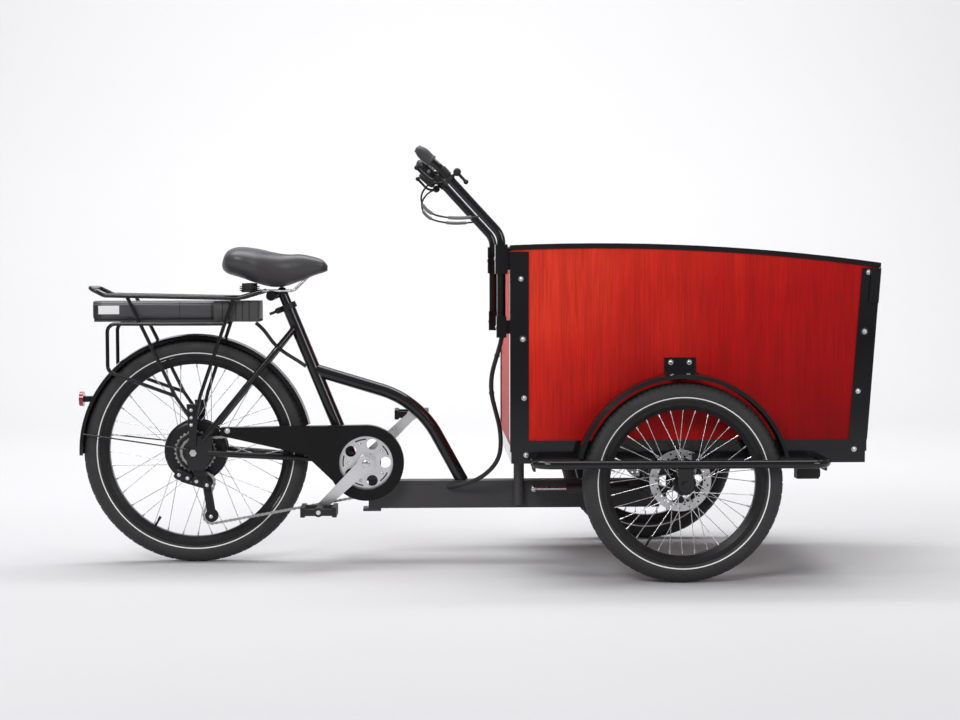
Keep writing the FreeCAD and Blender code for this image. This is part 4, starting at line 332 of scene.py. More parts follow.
GLOSS_BLACK = mottled("gloss_black_paint", (0.005, 0.005, 0.006), (0.010, 0.010, 0.011),
                      roughness=(0.09, 0.17), cloud=(9.0, 4.0), grain=(420.0, 2.0), relief=(0.06, 0.0006),
                      specular_ior_level=0.3, coat_weight=0.25, coat_roughness=0.06)
SATIN_BLACK = mottled("satin_dark_paint", (0.030, 0.028, 0.030), (0.048, 0.046, 0.049),
                      roughness=(0.42, 0.56), cloud=(5.0, 5.0), grain=(900.0, 2.0), relief=(0.12, 0.0004))
GUARD_BLACK = mottled("chain_guard_plastic", (0.003,), (0.006,), roughness=(0.30, 0.40), cloud=(7.0, 3.0),
                      grain=(1300.0, 1.0), relief=(0.10, 0.0003), specular_ior_level=0.2)
RESIN = moulded_resin("black_resin", 0.012, 0.022)
DOCK_RESIN = moulded_resin("dock_resin", 0.050, 0.066)
print("paints", GLOSS_BLACK.name, SATIN_BLACK.name, GUARD_BLACK.name, RESIN.name)

# %% [markdown]
# Bare metal: spokes, chain and axle ends are steel, the cranks are polished alloy. Fine scratches
# drive the roughness. On the cranks they run one way, so there the noise is stretched. A hub's
# brake disc is told apart by its plane and its distance from the axle.

# %% Metals
DISC_TRACK_INNER = 59 * MM


def bare_metal(name, dark, light, smooth, rough, stretch=(1, 1, 1)):
    finish = Finish(name, metallic=1.0)
    scratches = finish.noise(160.0, 4.0, stretch=stretch)
    finish.colour(finish.noise(14.0, 3.0), shade(*dark), shade(*light))
    finish.rough(scratches, smooth, rough)
    finish.bump(scratches, 0.015, 0.0002)
    return finish.material


def black_alloy(name, disc_plane=None, disc_half=0.0, axle=None):
    """Satin black anodised metal; with a plane given, the brake's track in that plane is bare steel."""
    finish = Finish(name)
    cloud = finish.noise(40.0, 3.0)
    brushed = finish.noise(240.0, 3.0, stretch=(1, 8, 1))
    black = finish.mix(cloud, shade(0.013), shade(0.024, 0.024, 0.026))
    if disc_plane is None:
        finish.set("Base Color", black)
        finish.set("Metallic", 0.6)
        finish.rough(cloud, 0.32, 0.46)
    else:
        offset = finish.calc("ABSOLUTE", finish.axes()[1] - disc_plane)
        on_disc = (offset < disc_half) * (1.0 - (from_axle(finish, axle) < DISC_TRACK_INNER))
        steel = finish.mix(brushed, shade(0.52, 0.52, 0.53), shade(0.74, 0.74, 0.75))
        finish.colour(on_disc, black, steel)
        finish.set("Metallic", finish.span(on_disc, 0.0, 1.0, 0.6, 1.0))
        finish.rough(cloud, 0.26, 0.40)
    finish.bump(brushed, 0.05, 0.0003)
    return finish.material


SPOKE_STEEL = bare_metal("stainless_spoke", (0.55, 0.55, 0.56), (0.80, 0.80, 0.81), 0.18, 0.32)
CHAIN_STEEL = bare_metal("chain_steel", (0.34, 0.33, 0.32), (0.56, 0.55, 0.54), 0.26, 0.42)
CRANK_ALLOY = bare_metal("polished_alloy", (0.74, 0.74, 0.75), (0.88, 0.88, 0.89), 0.26, 0.36, (1, 4, 1))
BOLT_STEEL = bare_metal("bolt_zinc", (0.60, 0.60, 0.60), (0.80, 0.80, 0.79), 0.16, 0.30)
BLACK_ALLOY = black_alloy("black_alloy")
print("metals ready")

# %% [markdown]
# The box is plywood with a red stain under satin varnish. The stain takes unevenly: fine upright
# streaks follow the grain and wide bands differ from veneer leaf to leaf. Painted light and shade,
# mixed with blotches of stain, runs the colour from orange red at the top rear to deep red low down
# in front.

# %% Stained plywood
BOX_LOW, BOX_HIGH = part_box("box_panels")


def stained_plywood():
    finish = Finish("stained_plywood", metallic=0.0, specular_ior_level=0.08, coat_weight=0.04,
                    coat_roughness=0.2)
    x, _, z = finish.axes()
    fibre = finish.noise(210.0, 5.0, 0.65, stretch=(1, 1, 0.035))
    streak = finish.noise(46.0, 4.0, 0.6, stretch=(1, 1, 0.05))
    leaf = finish.noise(7.0, 2.0, 0.5, stretch=(1, 1, 0.02))
    blotch = finish.noise(3.2, 3.0)
    forward = finish.span(x, BOX_LOW.x, BOX_HIGH.x)
    height = finish.span(z, BOX_LOW.z, BOX_HIGH.z)
    # painted light and shade: lighter towards the top and the rear, darker low in front, mixed with uneven
    # stain
    painted_light_and_stain = finish.span(height * 0.55 - forward * 0.7 + blotch * 0.5 + leaf * 0.25, -0.25, 0.75)
    stain_with_painted_light = finish.ramp(painted_light_and_stain, (0.0, shade(0.24, 0.002, 0.004)), (0.45, shade(0.42, 0.006, 0.006)),
                         (0.8, shade(0.60, 0.022, 0.012)), (1.0, shade(0.72, 0.042, 0.020)))
    pale = finish.span(fibre * 0.6 + streak * 0.4, 0.40, 0.60)
    finish.colour(finish.span(pale, 0, 1, 0.34, 0.0), stain_with_painted_light, shade(0.075, 0.004, 0.004))
    finish.rough(fibre, 0.42, 0.55)
    finish.bump(fibre, 0.10, 0.0006)
    return finish.material


PLYWOOD = stained_plywood()
print("plywood over", [round(v, 3) for v in BOX_HIGH - BOX_LOW])

# %% [markdown]
# Rubber and vinyl. Tyre rubber is dark grey with a dusty tread and a pale reflective ring pressed
# into each sidewall; the ring is drawn by its distance from the axle. The saddle's vinyl has a fine
# pebble grain.

# %% Rubber and vinyl
RING_HALF_WIDTH = 1.35 * MM
DUST_DEPTH = 14 * MM


def tyre_rubber(name, centre, radius, ring_radius):
    finish = Finish(name, metallic=0.0)
    reach = from_axle(finish, centre)
    cloud = finish.noise(26.0, 4.0)
    ring = finish.calc("ABSOLUTE", reach - ring_radius) < RING_HALF_WIDTH
    dust = finish.span(reach, radius - DUST_DEPTH, radius) * finish.span(cloud, 0.35, 0.7)
    rubber = finish.mix(dust, shade(0.020, 0.020, 0.021), shade(0.052, 0.050, 0.049))
    finish.colour(ring, rubber, shade(0.80, 0.80, 0.79))
    finish.rough(cloud, 0.60, 0.78)
    finish.bump(finish.noise(1100.0, 2.0), 0.22, 0.0004)
    return finish.material


def saddle_vinyl():
    finish = Finish("saddle_vinyl", metallic=0.0)
    cloud = finish.noise(16.0, 3.0)
    pebble = finish.cells("SMOOTH_F1", 900.0)
    finish.colour(cloud, shade(0.034, 0.033, 0.037), shade(0.052, 0.051, 0.056))
    finish.rough(cloud, 0.34, 0.44)
    finish.bump(pebble, 0.25, 0.0005)
    return finish.material


def soft_rubber(name, dark, light):
    return mottled(name, dark, light, roughness=(0.55, 0.72), cloud=(40.0, 3.0), grain=(1600.0, 2.0),
                   relief=(0.25, 0.0003))


VINYL = saddle_vinyl()
GRIP_RUBBER = soft_rubber("grip_rubber", (0.030, 0.030, 0.033), (0.055, 0.055, 0.060))
CABLE_SHEATH = soft_rubber("cable_sheath", (0.007, 0.007, 0.008), (0.014, 0.014, 0.015))
CABLE_WRAP = soft_rubber("cable_wrap", (0.10, 0.10, 0.105), (0.17, 0.17, 0.175))
print("rubber and vinyl ready")

# %% [markdown]
# The battery's case is a brushed dark extrusion between black end caps, and the reflector is a
# clear red lens with a fine grid of prisms moulded into it.

# %% Battery and lenses
REAR_CAP, FRONT_CAP = 22 * MM, 8 * MM
# the pale panel on the near side, from the case's rear end and from its underside
PANEL_REAR, PANEL_FRONT = 14 * MM, 70 * MM
PANEL_LOW, PANEL_HIGH = 13 * MM, 36 * MM
PANEL_DEPTH = 1 * MM
# a dark seam, from the case's front end
SEAM_REAR, SEAM_FRONT = 92 * MM, 90.6 * MM


def battery_case():
    finish = Finish("battery_extrusion")
    low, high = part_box("battery")
    x, y, z = finish.axes()
    brushed = finish.noise(300.0, 3.0, stretch=(0.03, 1, 1))
    caps = finish.calc("MAXIMUM", x < low.x + REAR_CAP, x > high.x - FRONT_CAP)
    shell = finish.mix(brushed, shade(0.060, 0.058, 0.064), shade(0.095, 0.092, 0.100))
    panel = (x > low.x + PANEL_REAR) * (x < low.x + PANEL_FRONT) * (y < low.y + PANEL_DEPTH)
    panel = panel * (z > low.z + PANEL_LOW) * (z < low.z + PANEL_HIGH)
    seam = (x > high.x - SEAM_REAR) * (x < high.x - SEAM_FRONT)
    case = finish.mix(seam, finish.mix(caps, shell, shade(0.012)), shade(0.004))
    finish.colour(panel, case, shade(0.78, 0.78, 0.79))
    finish.set("Metallic", finish.span(caps + panel, 0, 1, 0.5, 0.0))
    finish.rough(brushed, 0.34, 0.48)
    finish.bump(brushed, 0.08, 0.0003)
    return finish.material


def red_lens():
    finish = Finish("red_lens", metallic=0.0, coat_weight=0.8, coat_roughness=0.05)
    prisms = finish.cells("F1", 420.0)
    finish.colour(finish.span(prisms, 0.0, 0.8), shade(0.40, 0.003, 0.005), shade(0.16, 0.001, 0.002))
    finish.set("Roughness", finish.span(prisms, 0.0, 1.0, 0.12, 0.24))
    finish.bump(prisms, 0.4, 0.0006)
    return finish.material


BATTERY_CASE = battery_case()
RED_LENS = red_lens()
print("battery and lens ready")

# %% [markdown]
# The sweep is matt white paper with a trace of mottling, bright enough to pass for a studio wall.
# Painted shade makes the floor darker towards the front and lighter towards the back and up the wall.

# %% Paper sweep


def sweep_paper():
    finish = Finish("sweep_paper", metallic=0.0, roughness=0.9)
    cloud = finish.noise(0.6, 2.0)
    # painted shade: the paper is darker towards the front and lighter towards the back and up the wall
    depth = finish.span(finish.axes()[1], 0.5, 6.5)
    paper_with_painted_shade = finish.mix(depth, shade(0.47, 0.47, 0.485), shade(0.72, 0.72, 0.73))
    finish.colour(cloud * 0.1, paper_with_painted_shade, shade(0.90, 0.90, 0.91))
    return finish.material


SWEEP.data.materials.append(sweep_paper())
print("sweep painted")

# %% [markdown]
# Solids whose shape is right keep it and only change their finish. Hubs with a brake disc use one
# material that turns from black to steel in the disc's plane.

# %% Finishes on the solids
FINISH_OF = {
    GLOSS_BLACK: ("top_tube", "seat_tube", "rear_triangle", "rear_fender", "rear_rack", "front_chassis",
                  "top_trim", "corner_posts", "side_rails", "front_fenders", "handlebar_sleeves",
                  "left_handlebar", "right_handlebar", "seatpost"),
    SATIN_BLACK: ("main_beam", "damper_barrel"),
    GUARD_BLACK: ("chain_guard",),
    RESIN: ("right_pedal", "left_pedal", "headlamp", "jockey_upper", "jockey_lower", "shift_lever"),
    SPOKE_STEEL: ("rear_spokes", "front_left_spokes", "front_right_spokes", "rear_axle", "damper_rod"),
    CRANK_ALLOY: ("right_crank", "left_crank"),
    BLACK_ALLOY: ("rear_rim", "front_left_rim", "front_right_rim", "seat_clamp", "seat_clamp_lever",
                  "rear_caliper", "front_calipers", "derailleur", "left_brake_lever", "right_brake_lever"),
    PLYWOOD: ("box_panels",),
    BATTERY_CASE: ("battery",),
    RED_LENS: ("rear_reflector",),
}
SPRING_FRONT = -572 * MM
SLOT_INNER, SLOT_OUTER = 61.5 * MM, 65 * MM
SLOT_COUNT, SLOT_TURN, SLOT_EDGE = 5.0, 5.04, 0.35
FRONT_DISC_INSET = 42 * MM
REAR_DISC_PLANE = 45 * MM
DISC_HALF = 1.3 * MM
REAR_AXLE = pivot("rear_wheel_spin")
CRANK_AXLE = pivot("crank_spin")


def saddle_underframe():
    """Bright rails and clamp, with black rubber springs at the back told apart by where they stand."""
    finish = Finish("saddle_underframe")
    cloud = finish.noise(60.0, 3.0)
    spring = finish.axes()[0] < SPRING_FRONT
    steel = finish.mix(cloud, shade(0.50, 0.50, 0.51), shade(0.70, 0.70, 0.71))
    finish.colour(spring, steel, shade(0.014))
    finish.set("Metallic", 1.0 - spring)
    finish.set("Roughness", finish.span(cloud + spring, 0.3, 1.6, 0.20, 0.55))
    finish.bump(cloud, 0.05, 0.0003)
    return finish.material


def chainring_alloy(centre):
    """Bright alloy with five dark slots, drawn where the radius and the turn both fall inside a slot."""
    finish = Finish("chainring_alloy", metallic=1.0)
    x, _, z = finish.axes()
    radius = from_axle(finish, centre)
    turn = finish.calc("ARCTAN2", z - centre.z, x - centre.x)
    lobes = finish.calc("SINE", turn * SLOT_COUNT + SLOT_TURN)
    slot = (radius < SLOT_OUTER) * (1.0 - (radius < SLOT_INNER)) * (1.0 - (lobes < SLOT_EDGE))
    brushed = finish.noise(70.0, 3.0)
    alloy = finish.mix(brushed, shade(0.72, 0.72, 0.73), shade(0.86, 0.86, 0.87))
    finish.colour(slot, alloy, shade(0.02))
    finish.rough(brushed, 0.26, 0.38)
    return finish.material


def front_hub_finish(side):
    axle = pivot(f"front_{side}_wheel_spin")
    plane = axle.y - math.copysign(FRONT_DISC_INSET, axle.y)
    return black_alloy(f"front_{side}_hub_and_disc", plane, DISC_HALF, axle)


finish_of_node = {node: material for material, nodes in FINISH_OF.items() for node in nodes}
finish_of_node["chainring"] = chainring_alloy(CRANK_AXLE)
finish_of_node["saddle_frame"] = saddle_underframe()
for side in SIDES:
    finish_of_node[f"front_{side}_hub"] = front_hub_finish(side)
finish_of_node["rear_hub"] = black_alloy("rear_hub_and_disc", REAR_DISC_PLANE, DISC_HALF, REAR_AXLE)
for node, material in finish_of_node.items():
    for material_slot in NODES[node].material_slots:
        material_slot.material = material
print("painted", len(finish_of_node), "solids")

# %% [markdown]
# Meshes are made in a few plain ways: turned about an axis, lofted over rings, or joined from such
# parts. These helpers return vertices and faces, so that many small parts can become one piece.

# %% Mesh helpers
SHARP_ANGLE = math.radians(40)


def as_piece(name, parts, material, body, replaced=()):
    """Join (vertices, faces) parts into one piece that rides on a body."""
    vertices, faces = [], []
    for part_vertices, part_faces in parts:
        start = len(vertices)
        vertices += part_vertices
        faces += [tuple(index + start for index in face) for face in part_faces]
    made = new_object(name, vertices, faces)
    tidy = bmesh.new()
    tidy.from_mesh(made.data)
    bmesh.ops.recalc_face_normals(tidy, faces=tidy.faces)
    tidy.to_mesh(made.data)
    tidy.free()
    made.data.materials.append(material)
    smooth_faces(made.data)
    made.data.set_sharp_from_angle(angle=SHARP_ANGLE)
    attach(made, body)
    if replaced:
        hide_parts(*replaced)
    return made


def subdivided(made):
    smooth = made.modifiers.new("smooth", "SUBSURF")
    smooth.levels = 1
    smooth.render_levels = 1


def turns(count, first=0.0):
    """The angles of equal steps once round."""
    return [first + 2 * math.pi * step / count for step in range(count)]


def spoke(angle):
    """A direction in the wheels' plane, by its angle from forward to up."""
    return Vector((math.cos(angle), 0, math.sin(angle)))


def at_side(spot, y):
    """A point moved along Y to a given plane."""
    return Vector((spot.x, y, spot.z))


def oval(centre, first, second, count):
    """A ring of points about a centre, with two half axes."""
    return [centre + first * math.cos(angle) + second * math.sin(angle) for angle in turns(count)]


def flattened(value, power):
    """A sine or cosine raised to a power with its sign kept; a low power draws a circle to a square."""
    return math.copysign(abs(value) ** power, value)


def band(half, inner, outer, ease=0.0):
    """The profile of a ring for turned, with its outer edges square or eased."""
    rim = [(half - ease, outer), (half, outer - ease)] if ease else [(half, outer)]
    upper = rim + [(half, inner)]
    return [(-forward, radius) for forward, radius in reversed(upper)] + upper


def quads(rings, count, loop=False, closed=True):
    """Faces between neighbouring rings of points; a loop joins the last ring to the first."""
    faces = []
    for ring in range(rings if loop else rings - 1):
        here, following = ring * count, (ring + 1) % rings * count
        for index in range(count if closed else count - 1):
            after = (index + 1) % count
            faces.append((here + index, here + after, following + after, following + index))
    return faces


def lofted(rings):
    """A closed skin over rings that all have the same number of points."""
    count = len(rings[0])
    vertices = [spot for ring in rings for spot in ring]
    faces = quads(len(rings), count)
    faces.append(tuple(reversed(range(count))))
    faces.append(tuple(range(len(vertices) - count, len(vertices))))
    return vertices, faces


def turned(profile, centre, axis, segments=32, closed=True):
    """Turn (along, radius) points about an axis through a centre; a closed profile makes a ring."""
    axis = Vector(axis).normalized()
    side = axis.orthogonal().normalized()
    up = axis.cross(side)
    vertices = []
    for outward in oval(Vector(), side, up, segments):
        vertices += [Vector(centre) + axis * forward + outward * radius for forward, radius in profile]
    return vertices, quads(segments, len(profile), loop=True, closed=closed)


def capped_turn(profile, centre, axis, segments=24):
    """As turned, for a profile that starts and ends near the axis: both ends are closed by a face."""
    vertices, faces = turned(profile, centre, axis, segments, closed=False)
    count = len(profile)
    faces.append(tuple(step * count for step in range(segments)))
    faces.append(tuple(step * count + count - 1 for step in reversed(range(segments))))
    return vertices, faces


def dome(centre, axis, radius, height, washer=1.5):
    """A domed screw head on a thin washer, with heights as shares of the whole."""
    rim = radius * washer
    washer_top, head_foot, flat_tip = 0.18, 0.22, 0.12
    arc_steps, sides = 6, 20
    profile = [(0, rim), (height * washer_top, rim), (height * head_foot, radius)]
    for step in range(1, arc_steps):
        angle = math.pi / 2 * step / arc_steps
        rise = head_foot + (1 - head_foot) * math.sin(angle)
        profile.append((height * rise, radius * math.cos(angle)))
    profile.append((height, radius * flat_tip))
    return capped_turn(profile, centre, axis, sides)


def along(start, end, radius, segments=16, soft=0.25):
    """A straight round bar between two points with eased ends."""
    run = Vector(end) - Vector(start)
    ease = radius * soft
    eased_end = [(0, radius * 0.3), (0, radius - ease), (ease * 0.4, radius - ease * 0.3), (ease, radius)]
    profile = eased_end + [(run.length - forward, reach) for forward, reach in reversed(eased_end)]
    return capped_turn(profile, start, run, segments)


def soft_block(centre, axes, half, squareness, rings=12, segments=28):
    """A box with well rounded edges: a ball whose sines and cosines are flattened towards a cube."""
    forward, sideways, upward = [axis * size for axis, size in zip(axes, half)]
    skin = []
    for ring in range(1, rings):
        tilt = math.pi * ring / rings - math.pi / 2
        girth = flattened(math.cos(tilt), squareness)
        level = centre + upward * flattened(math.sin(tilt), squareness)
        skin.append([level + forward * girth * flattened(math.cos(angle), squareness)
                     + sideways * girth * flattened(math.sin(angle), squareness)
                     for angle in turns(segments)])
    return lofted(skin)


print("mesh helpers ready")

# %% [markdown]
# Tyres. A plain torus would look like a toy, so the tread is real relief: the crown is cut by two
# grooves that run round it and by short cross cuts on the shoulders. All cuts go inwards, so the
# tyre keeps its size.

# %% Tyres
TYRE_SECTION = 27 * MM
TYRE_WALL = 4 * MM
TYRE_WRAP = math.radians(136)
TREAD_EDGE = math.radians(50)
GROOVE_DEPTH = 1.7 * MM
RING_GROOVE = math.radians(13), math.radians(18)
ACROSS_STEPS, INNER_STEPS = 56, 10
COLUMNS_PER_BLOCK = 6
REAR_BLOCKS, FRONT_BLOCKS = 120, 100
# the pale ring's distance from the tread, towards the axle
REAR_RING_INSET, FRONT_RING_INSET = 39 * MM, 38 * MM


def tread_cut(across, column):
    """How deep the tread is cut at an angle across the section and a column round the tyre."""
    turn = abs(across)
    if turn > TREAD_EDGE:
        return 0.0
    groove_start, groove_end = RING_GROOVE
    in_ring_groove = groove_start < turn < groove_end
    phase = (column + (COLUMNS_PER_BLOCK // 2 if across > 0 else 0)) % COLUMNS_PER_BLOCK
    in_cross_cut = turn > groove_end and phase == 0
    in_centre_cut = turn < groove_start and column % (2 * COLUMNS_PER_BLOCK) == 0
    return GROOVE_DEPTH if in_ring_groove or in_cross_cut or in_centre_cut else 0.0


def tyre(name, centre, radius, body, blocks, ring_radius):
    core = radius - TYRE_SECTION
    columns = blocks * COLUMNS_PER_BLOCK
    vertices = []
    for column, angle in enumerate(turns(columns)):
        section = []
        for row in range(ACROSS_STEPS + 1):
            across = TYRE_WRAP * (2 * row / ACROSS_STEPS - 1)
            section.append((across, TYRE_SECTION - tread_cut(across, column)))
        for row in range(INNER_STEPS + 1):
            section.append((TYRE_WRAP * (1 - 2 * row / INNER_STEPS), TYRE_SECTION - TYRE_WALL))
        for across, reach in section:
            sideways = Y_AXIS * reach * math.sin(across)
            vertices.append(centre + spoke(angle) * (core + reach * math.cos(across)) + sideways)
    faces = quads(columns, len(section), loop=True)
    material = tyre_rubber(name + "_rubber", centre, radius, ring_radius)
    return as_piece(name, [(vertices, faces)], material, body, [name.replace("_tread", "")])


tyre("rear_tyre_tread", REAR_AXLE, REAR_AXLE.z, "rear_wheel", REAR_BLOCKS, REAR_AXLE.z - REAR_RING_INSET)
for side in SIDES:
    hub = pivot(f"front_{side}_wheel_spin")
    tyre(f"front_{side}_tyre_tread", hub, hub.z, f"front_{side}_wheel", FRONT_BLOCKS,
         hub.z - FRONT_RING_INSET)
print("tyres", [round(REAR_AXLE.z, 3), round(hub.z, 3)])

# %% [markdown]
# Chain. Each link is a pair of waisted plates, by turns an inner and an outer pair, and every pin
# carries a roller. The pins are set one pitch apart along the line that the chain takes round the
# chainring, the two jockey wheels and the working cog, which is worked out from the wheels' centres
# and tooth counts.

# %% Chain
CHAIN_PITCH = 12.7 * MM
CHAIN_LINE = -47 * MM
RING_TEETH, COG_TEETH, JOCKEY_TEETH = 44, 18, 11
# the line is drawn in steps of about this length before the pins are set on it
LINE_STEP = 0.5 * MM
PLATE = 0.9 * MM
PLATE_END_RADIUS, PLATE_WAIST = 3.9 * MM, 2.6 * MM
PLATE_END_WRAP, PLATE_END_STEPS = math.radians(110), 6
INNER_FACE = 1.4 * MM
PIN_RADIUS, PIN_HALF = 1.8 * MM, INNER_FACE + 2 * PLATE
ROLLER_RADIUS, ROLLER_SIDES = 3.6 * MM, 10


def pitch_radius(teeth):
    return CHAIN_PITCH / 2 / math.sin(math.pi / teeth)


def chain_wheel(joint_name, teeth, way):
    """A wheel's centre forward and up, its radius, and its way: 1 is clockwise, -1 the other way."""
    centre = pivot(joint_name)
    return Vector((centre.x, centre.z)), pitch_radius(teeth), way


def rolled(items):
    """The items from the second on, then the first, so that zip pairs each with the next."""
    return items[1:] + items[:1]


CHAIN_WHEELS = (
    chain_wheel("crank_spin", RING_TEETH, 1),
    chain_wheel("lower_jockey_spin", JOCKEY_TEETH, 1),
    chain_wheel("upper_jockey_spin", JOCKEY_TEETH, -1),
    chain_wheel("cassette_spin", COG_TEETH, 1),
)


def chain_touches():
    """Where the chain leaves each wheel and meets the next."""
    touches = []
    for (first, radius, way), (second, next_radius, next_way) in zip(CHAIN_WHEELS, rolled(CHAIN_WHEELS)):
        run = second - first
        cosine = (way * radius - next_way * next_radius) / run.length
        run.normalize()
        normal = run * cosine + run.orthogonal() * math.sqrt(1 - cosine ** 2)
        touches.append((first + normal * way * radius, second + normal * next_way * next_radius))
    return touches


def chain_line():
    """Closely set points along the closed chain."""
    touches = chain_touches()
    points = []
    for touch, wheel, (depart, _) in zip(touches, rolled(CHAIN_WHEELS), rolled(touches)):
        (leave, arrive), (centre, radius, way) = touch, wheel
        steps = max(1, round((arrive - leave).length / LINE_STEP))
        points += [leave.lerp(arrive, step / steps) for step in range(steps)]
        first, last = [math.atan2(ray.y, ray.x) for ray in (arrive - centre, depart - centre)]
        sweep = (way * (first - last)) % (2 * math.pi)
        steps = max(1, round(radius * sweep / LINE_STEP))
        for step in range(steps):
            angle = first - way * sweep * step / steps
            points.append(centre + radius * Vector((math.cos(angle), math.sin(angle))))
    return points


def pin_places():
    line = chain_line()
    lengths = [(after - spot).length for spot, after in zip(line, rolled(line))]
    total = sum(lengths)
    count = 2 * round(total / CHAIN_PITCH / 2)
    pitch = total / count
    places, walked, wanted = [], 0.0, 0.0
    for spot, length in zip(line, lengths):
        while wanted <= walked + length and len(places) < count:
            places.append(spot)
            wanted += pitch
        walked += length
    return places


def link_plate(start, end, low):
    """A plate with two round ends and a drawn-in waist between them."""
    forward = (end - start).normalized()
    across = forward.orthogonal()
    outline = []
    for centre, way in ((end, 1), (start, -1)):
        for step in range(PLATE_END_STEPS + 1):
            angle = PLATE_END_WRAP * (2 * step / PLATE_END_STEPS - 1)
            ray = forward * math.cos(angle) + across * math.sin(angle)
            outline.append(centre + ray * way * PLATE_END_RADIUS)
        outline.append((start + end) / 2 + across * PLATE_WAIST * way)
    return lofted([[Vector((spot.x, y, spot.y)) for spot in outline] for y in (low, low + PLATE)])


PINS = pin_places()
roller = [(-PIN_HALF, PIN_RADIUS)] + band(INNER_FACE, PIN_RADIUS, ROLLER_RADIUS) + [(PIN_HALF, PIN_RADIUS)]
chain_parts = []
for index, (start, end) in enumerate(zip(PINS, rolled(PINS))):
    inner = INNER_FACE if index % 2 else INNER_FACE + PLATE
    chain_parts += [link_plate(start, end, low) for low in (CHAIN_LINE + inner, CHAIN_LINE - inner - PLATE)]
    middle = Vector((start.x, CHAIN_LINE, start.y))
    chain_parts.append(capped_turn(roller, middle, Y_AXIS, ROLLER_SIDES))
as_piece("chain_links", chain_parts, CHAIN_STEEL, "frame", ["chain"])
print("chain links", len(PINS))

# %% [markdown]
# Cassette. Seven cogs step down from the wheel to the dropout. Each is a toothed disc: the
# outline's radius rises and falls once per tooth. The cog that carries the chain has lower teeth,
# which stay within its links.

# %% Cassette
COGS = (28, 24, 21, 18, 16, 14, 12)
COG_STEP = 5 * MM
COG_HALF = 0.9 * MM
COG_BORE = 19.5 * MM
CARRIER_INNER, CARRIER_OUTER, CARRIER_SIDES = 17.0 * MM, 19.6 * MM, 48
TOOTH_ROOT = 3.4 * MM
TOOTH_RISE, WORKING_TOOTH_RISE = 4.4 * MM, 3.0 * MM
# how far each step round one tooth stands up, as a share of the rise
TOOTH_SHAPE = (0, 0.1, 0.75, 1.0, 0.75, 0.1)
# the radius beyond which the cogs' colour turns bright, and the width of that change
COG_BRIGHT_FROM, COG_BRIGHT_DEPTH = pitch_radius(COGS[0]) - 4 * MM, 6 * MM
COG_AXLE = pivot("cassette_spin")


def toothed_disc(centre, teeth, tooth_rise):
    root = pitch_radius(teeth) - TOOTH_ROOT
    outline = [root + tooth_rise * height for height in TOOTH_SHAPE * teeth]
    bore = [COG_BORE] * len(outline)
    rims = []
    for radii, y in ((outline, -COG_HALF), (outline, COG_HALF), (bore, COG_HALF), (bore, -COG_HALF)):
        rims += [centre + spoke(angle) * radius + Y_AXIS * y
                 for angle, radius in zip(turns(len(radii)), radii)]
    return rims, quads(4, len(outline), loop=True)


def cog_steel(centre):
    """Blackened cogs that turn bright beyond a radius which the largest cog's tooth tips reach."""
    finish = Finish("cog_steel", metallic=1.0)
    grime = finish.noise(90.0, 4.0)
    reach = from_axle(finish, centre) + grime * COG_BRIGHT_DEPTH
    # the colour turns bright beyond this radius, with noise breaking up the edge
    bright_band = finish.span(reach, COG_BRIGHT_FROM, COG_BRIGHT_FROM + COG_BRIGHT_DEPTH)
    finish.colour(bright_band, shade(0.045, 0.043, 0.042), shade(0.55, 0.54, 0.53))
    finish.rough(grime, 0.28, 0.46)
    finish.bump(grime, 0.06, 0.0003)
    return finish.material


cog_parts = []
working = COGS.index(COG_TEETH)
for index, teeth in enumerate(COGS):
    middle = at_side(COG_AXLE, CHAIN_LINE + (working - index) * COG_STEP)
    cog_parts.append(toothed_disc(middle, teeth, WORKING_TOOTH_RISE if index == working else TOOTH_RISE))
carrier = band(working * COG_STEP + COG_HALF, CARRIER_INNER, CARRIER_OUTER)
cog_parts.append(turned(carrier, at_side(COG_AXLE, CHAIN_LINE), Y_AXIS, CARRIER_SIDES))
as_piece("cassette_cogs", cog_parts, cog_steel(COG_AXLE), "cassette", ["cassette"])
print("cogs", len(COGS))

# %% [markdown]
# Saddle. A wide touring saddle with a high soft tail, a dip for the rider and a narrow nose; the
# flanks draw in towards the base. It is lofted from a few stations along its length and smoothed by
# subdivision.

# %% Saddle
SADDLE_LOW, SADDLE_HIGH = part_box("saddle_cushion")
# shares of the length and of the half width, then underside and crown in millimetres above the lowest point
SADDLE_STATIONS = (
    (0.00, 0.46, 46, 70), (0.02, 0.66, 40, 88), (0.06, 0.86, 34, 102), (0.16, 1.00, 26, 111),
    (0.32, 0.94, 10, 107), (0.46, 0.68, 0, 98), (0.58, 0.48, 1, 92), (0.74, 0.33, 16, 90),
    (0.88, 0.27, 32, 82), (0.96, 0.21, 39, 73), (1.00, 0.10, 44, 60),
)
# where the rings lie: close together at the rounded ends, even between them
RING_SHARES = ([0.0, 0.006, 0.018, 0.035, 0.06, 0.09, 0.13] + [round(0.18 + 0.04 * i, 2) for i in range(17)]
               + [0.86, 0.90, 0.935, 0.96, 0.98, 0.993, 1.0])
SECTION_STEPS = 28
SADDLE_WIDTH_SHARE = 0.995
CHANNEL_DEPTH, CHANNEL_WIDTH = 3.0 * MM, 13 * MM
CHANNEL_START, CHANNEL_END = 0.15, 0.7
# a section's squareness across and upwards; shares of its height; how far its foot is drawn in
ACROSS_POWER, RISE_POWER = 0.72, 0.80
FLANK_TOP, CHANNEL_FOOT = 0.45, 0.9
FOOT_DRAW = 0.20


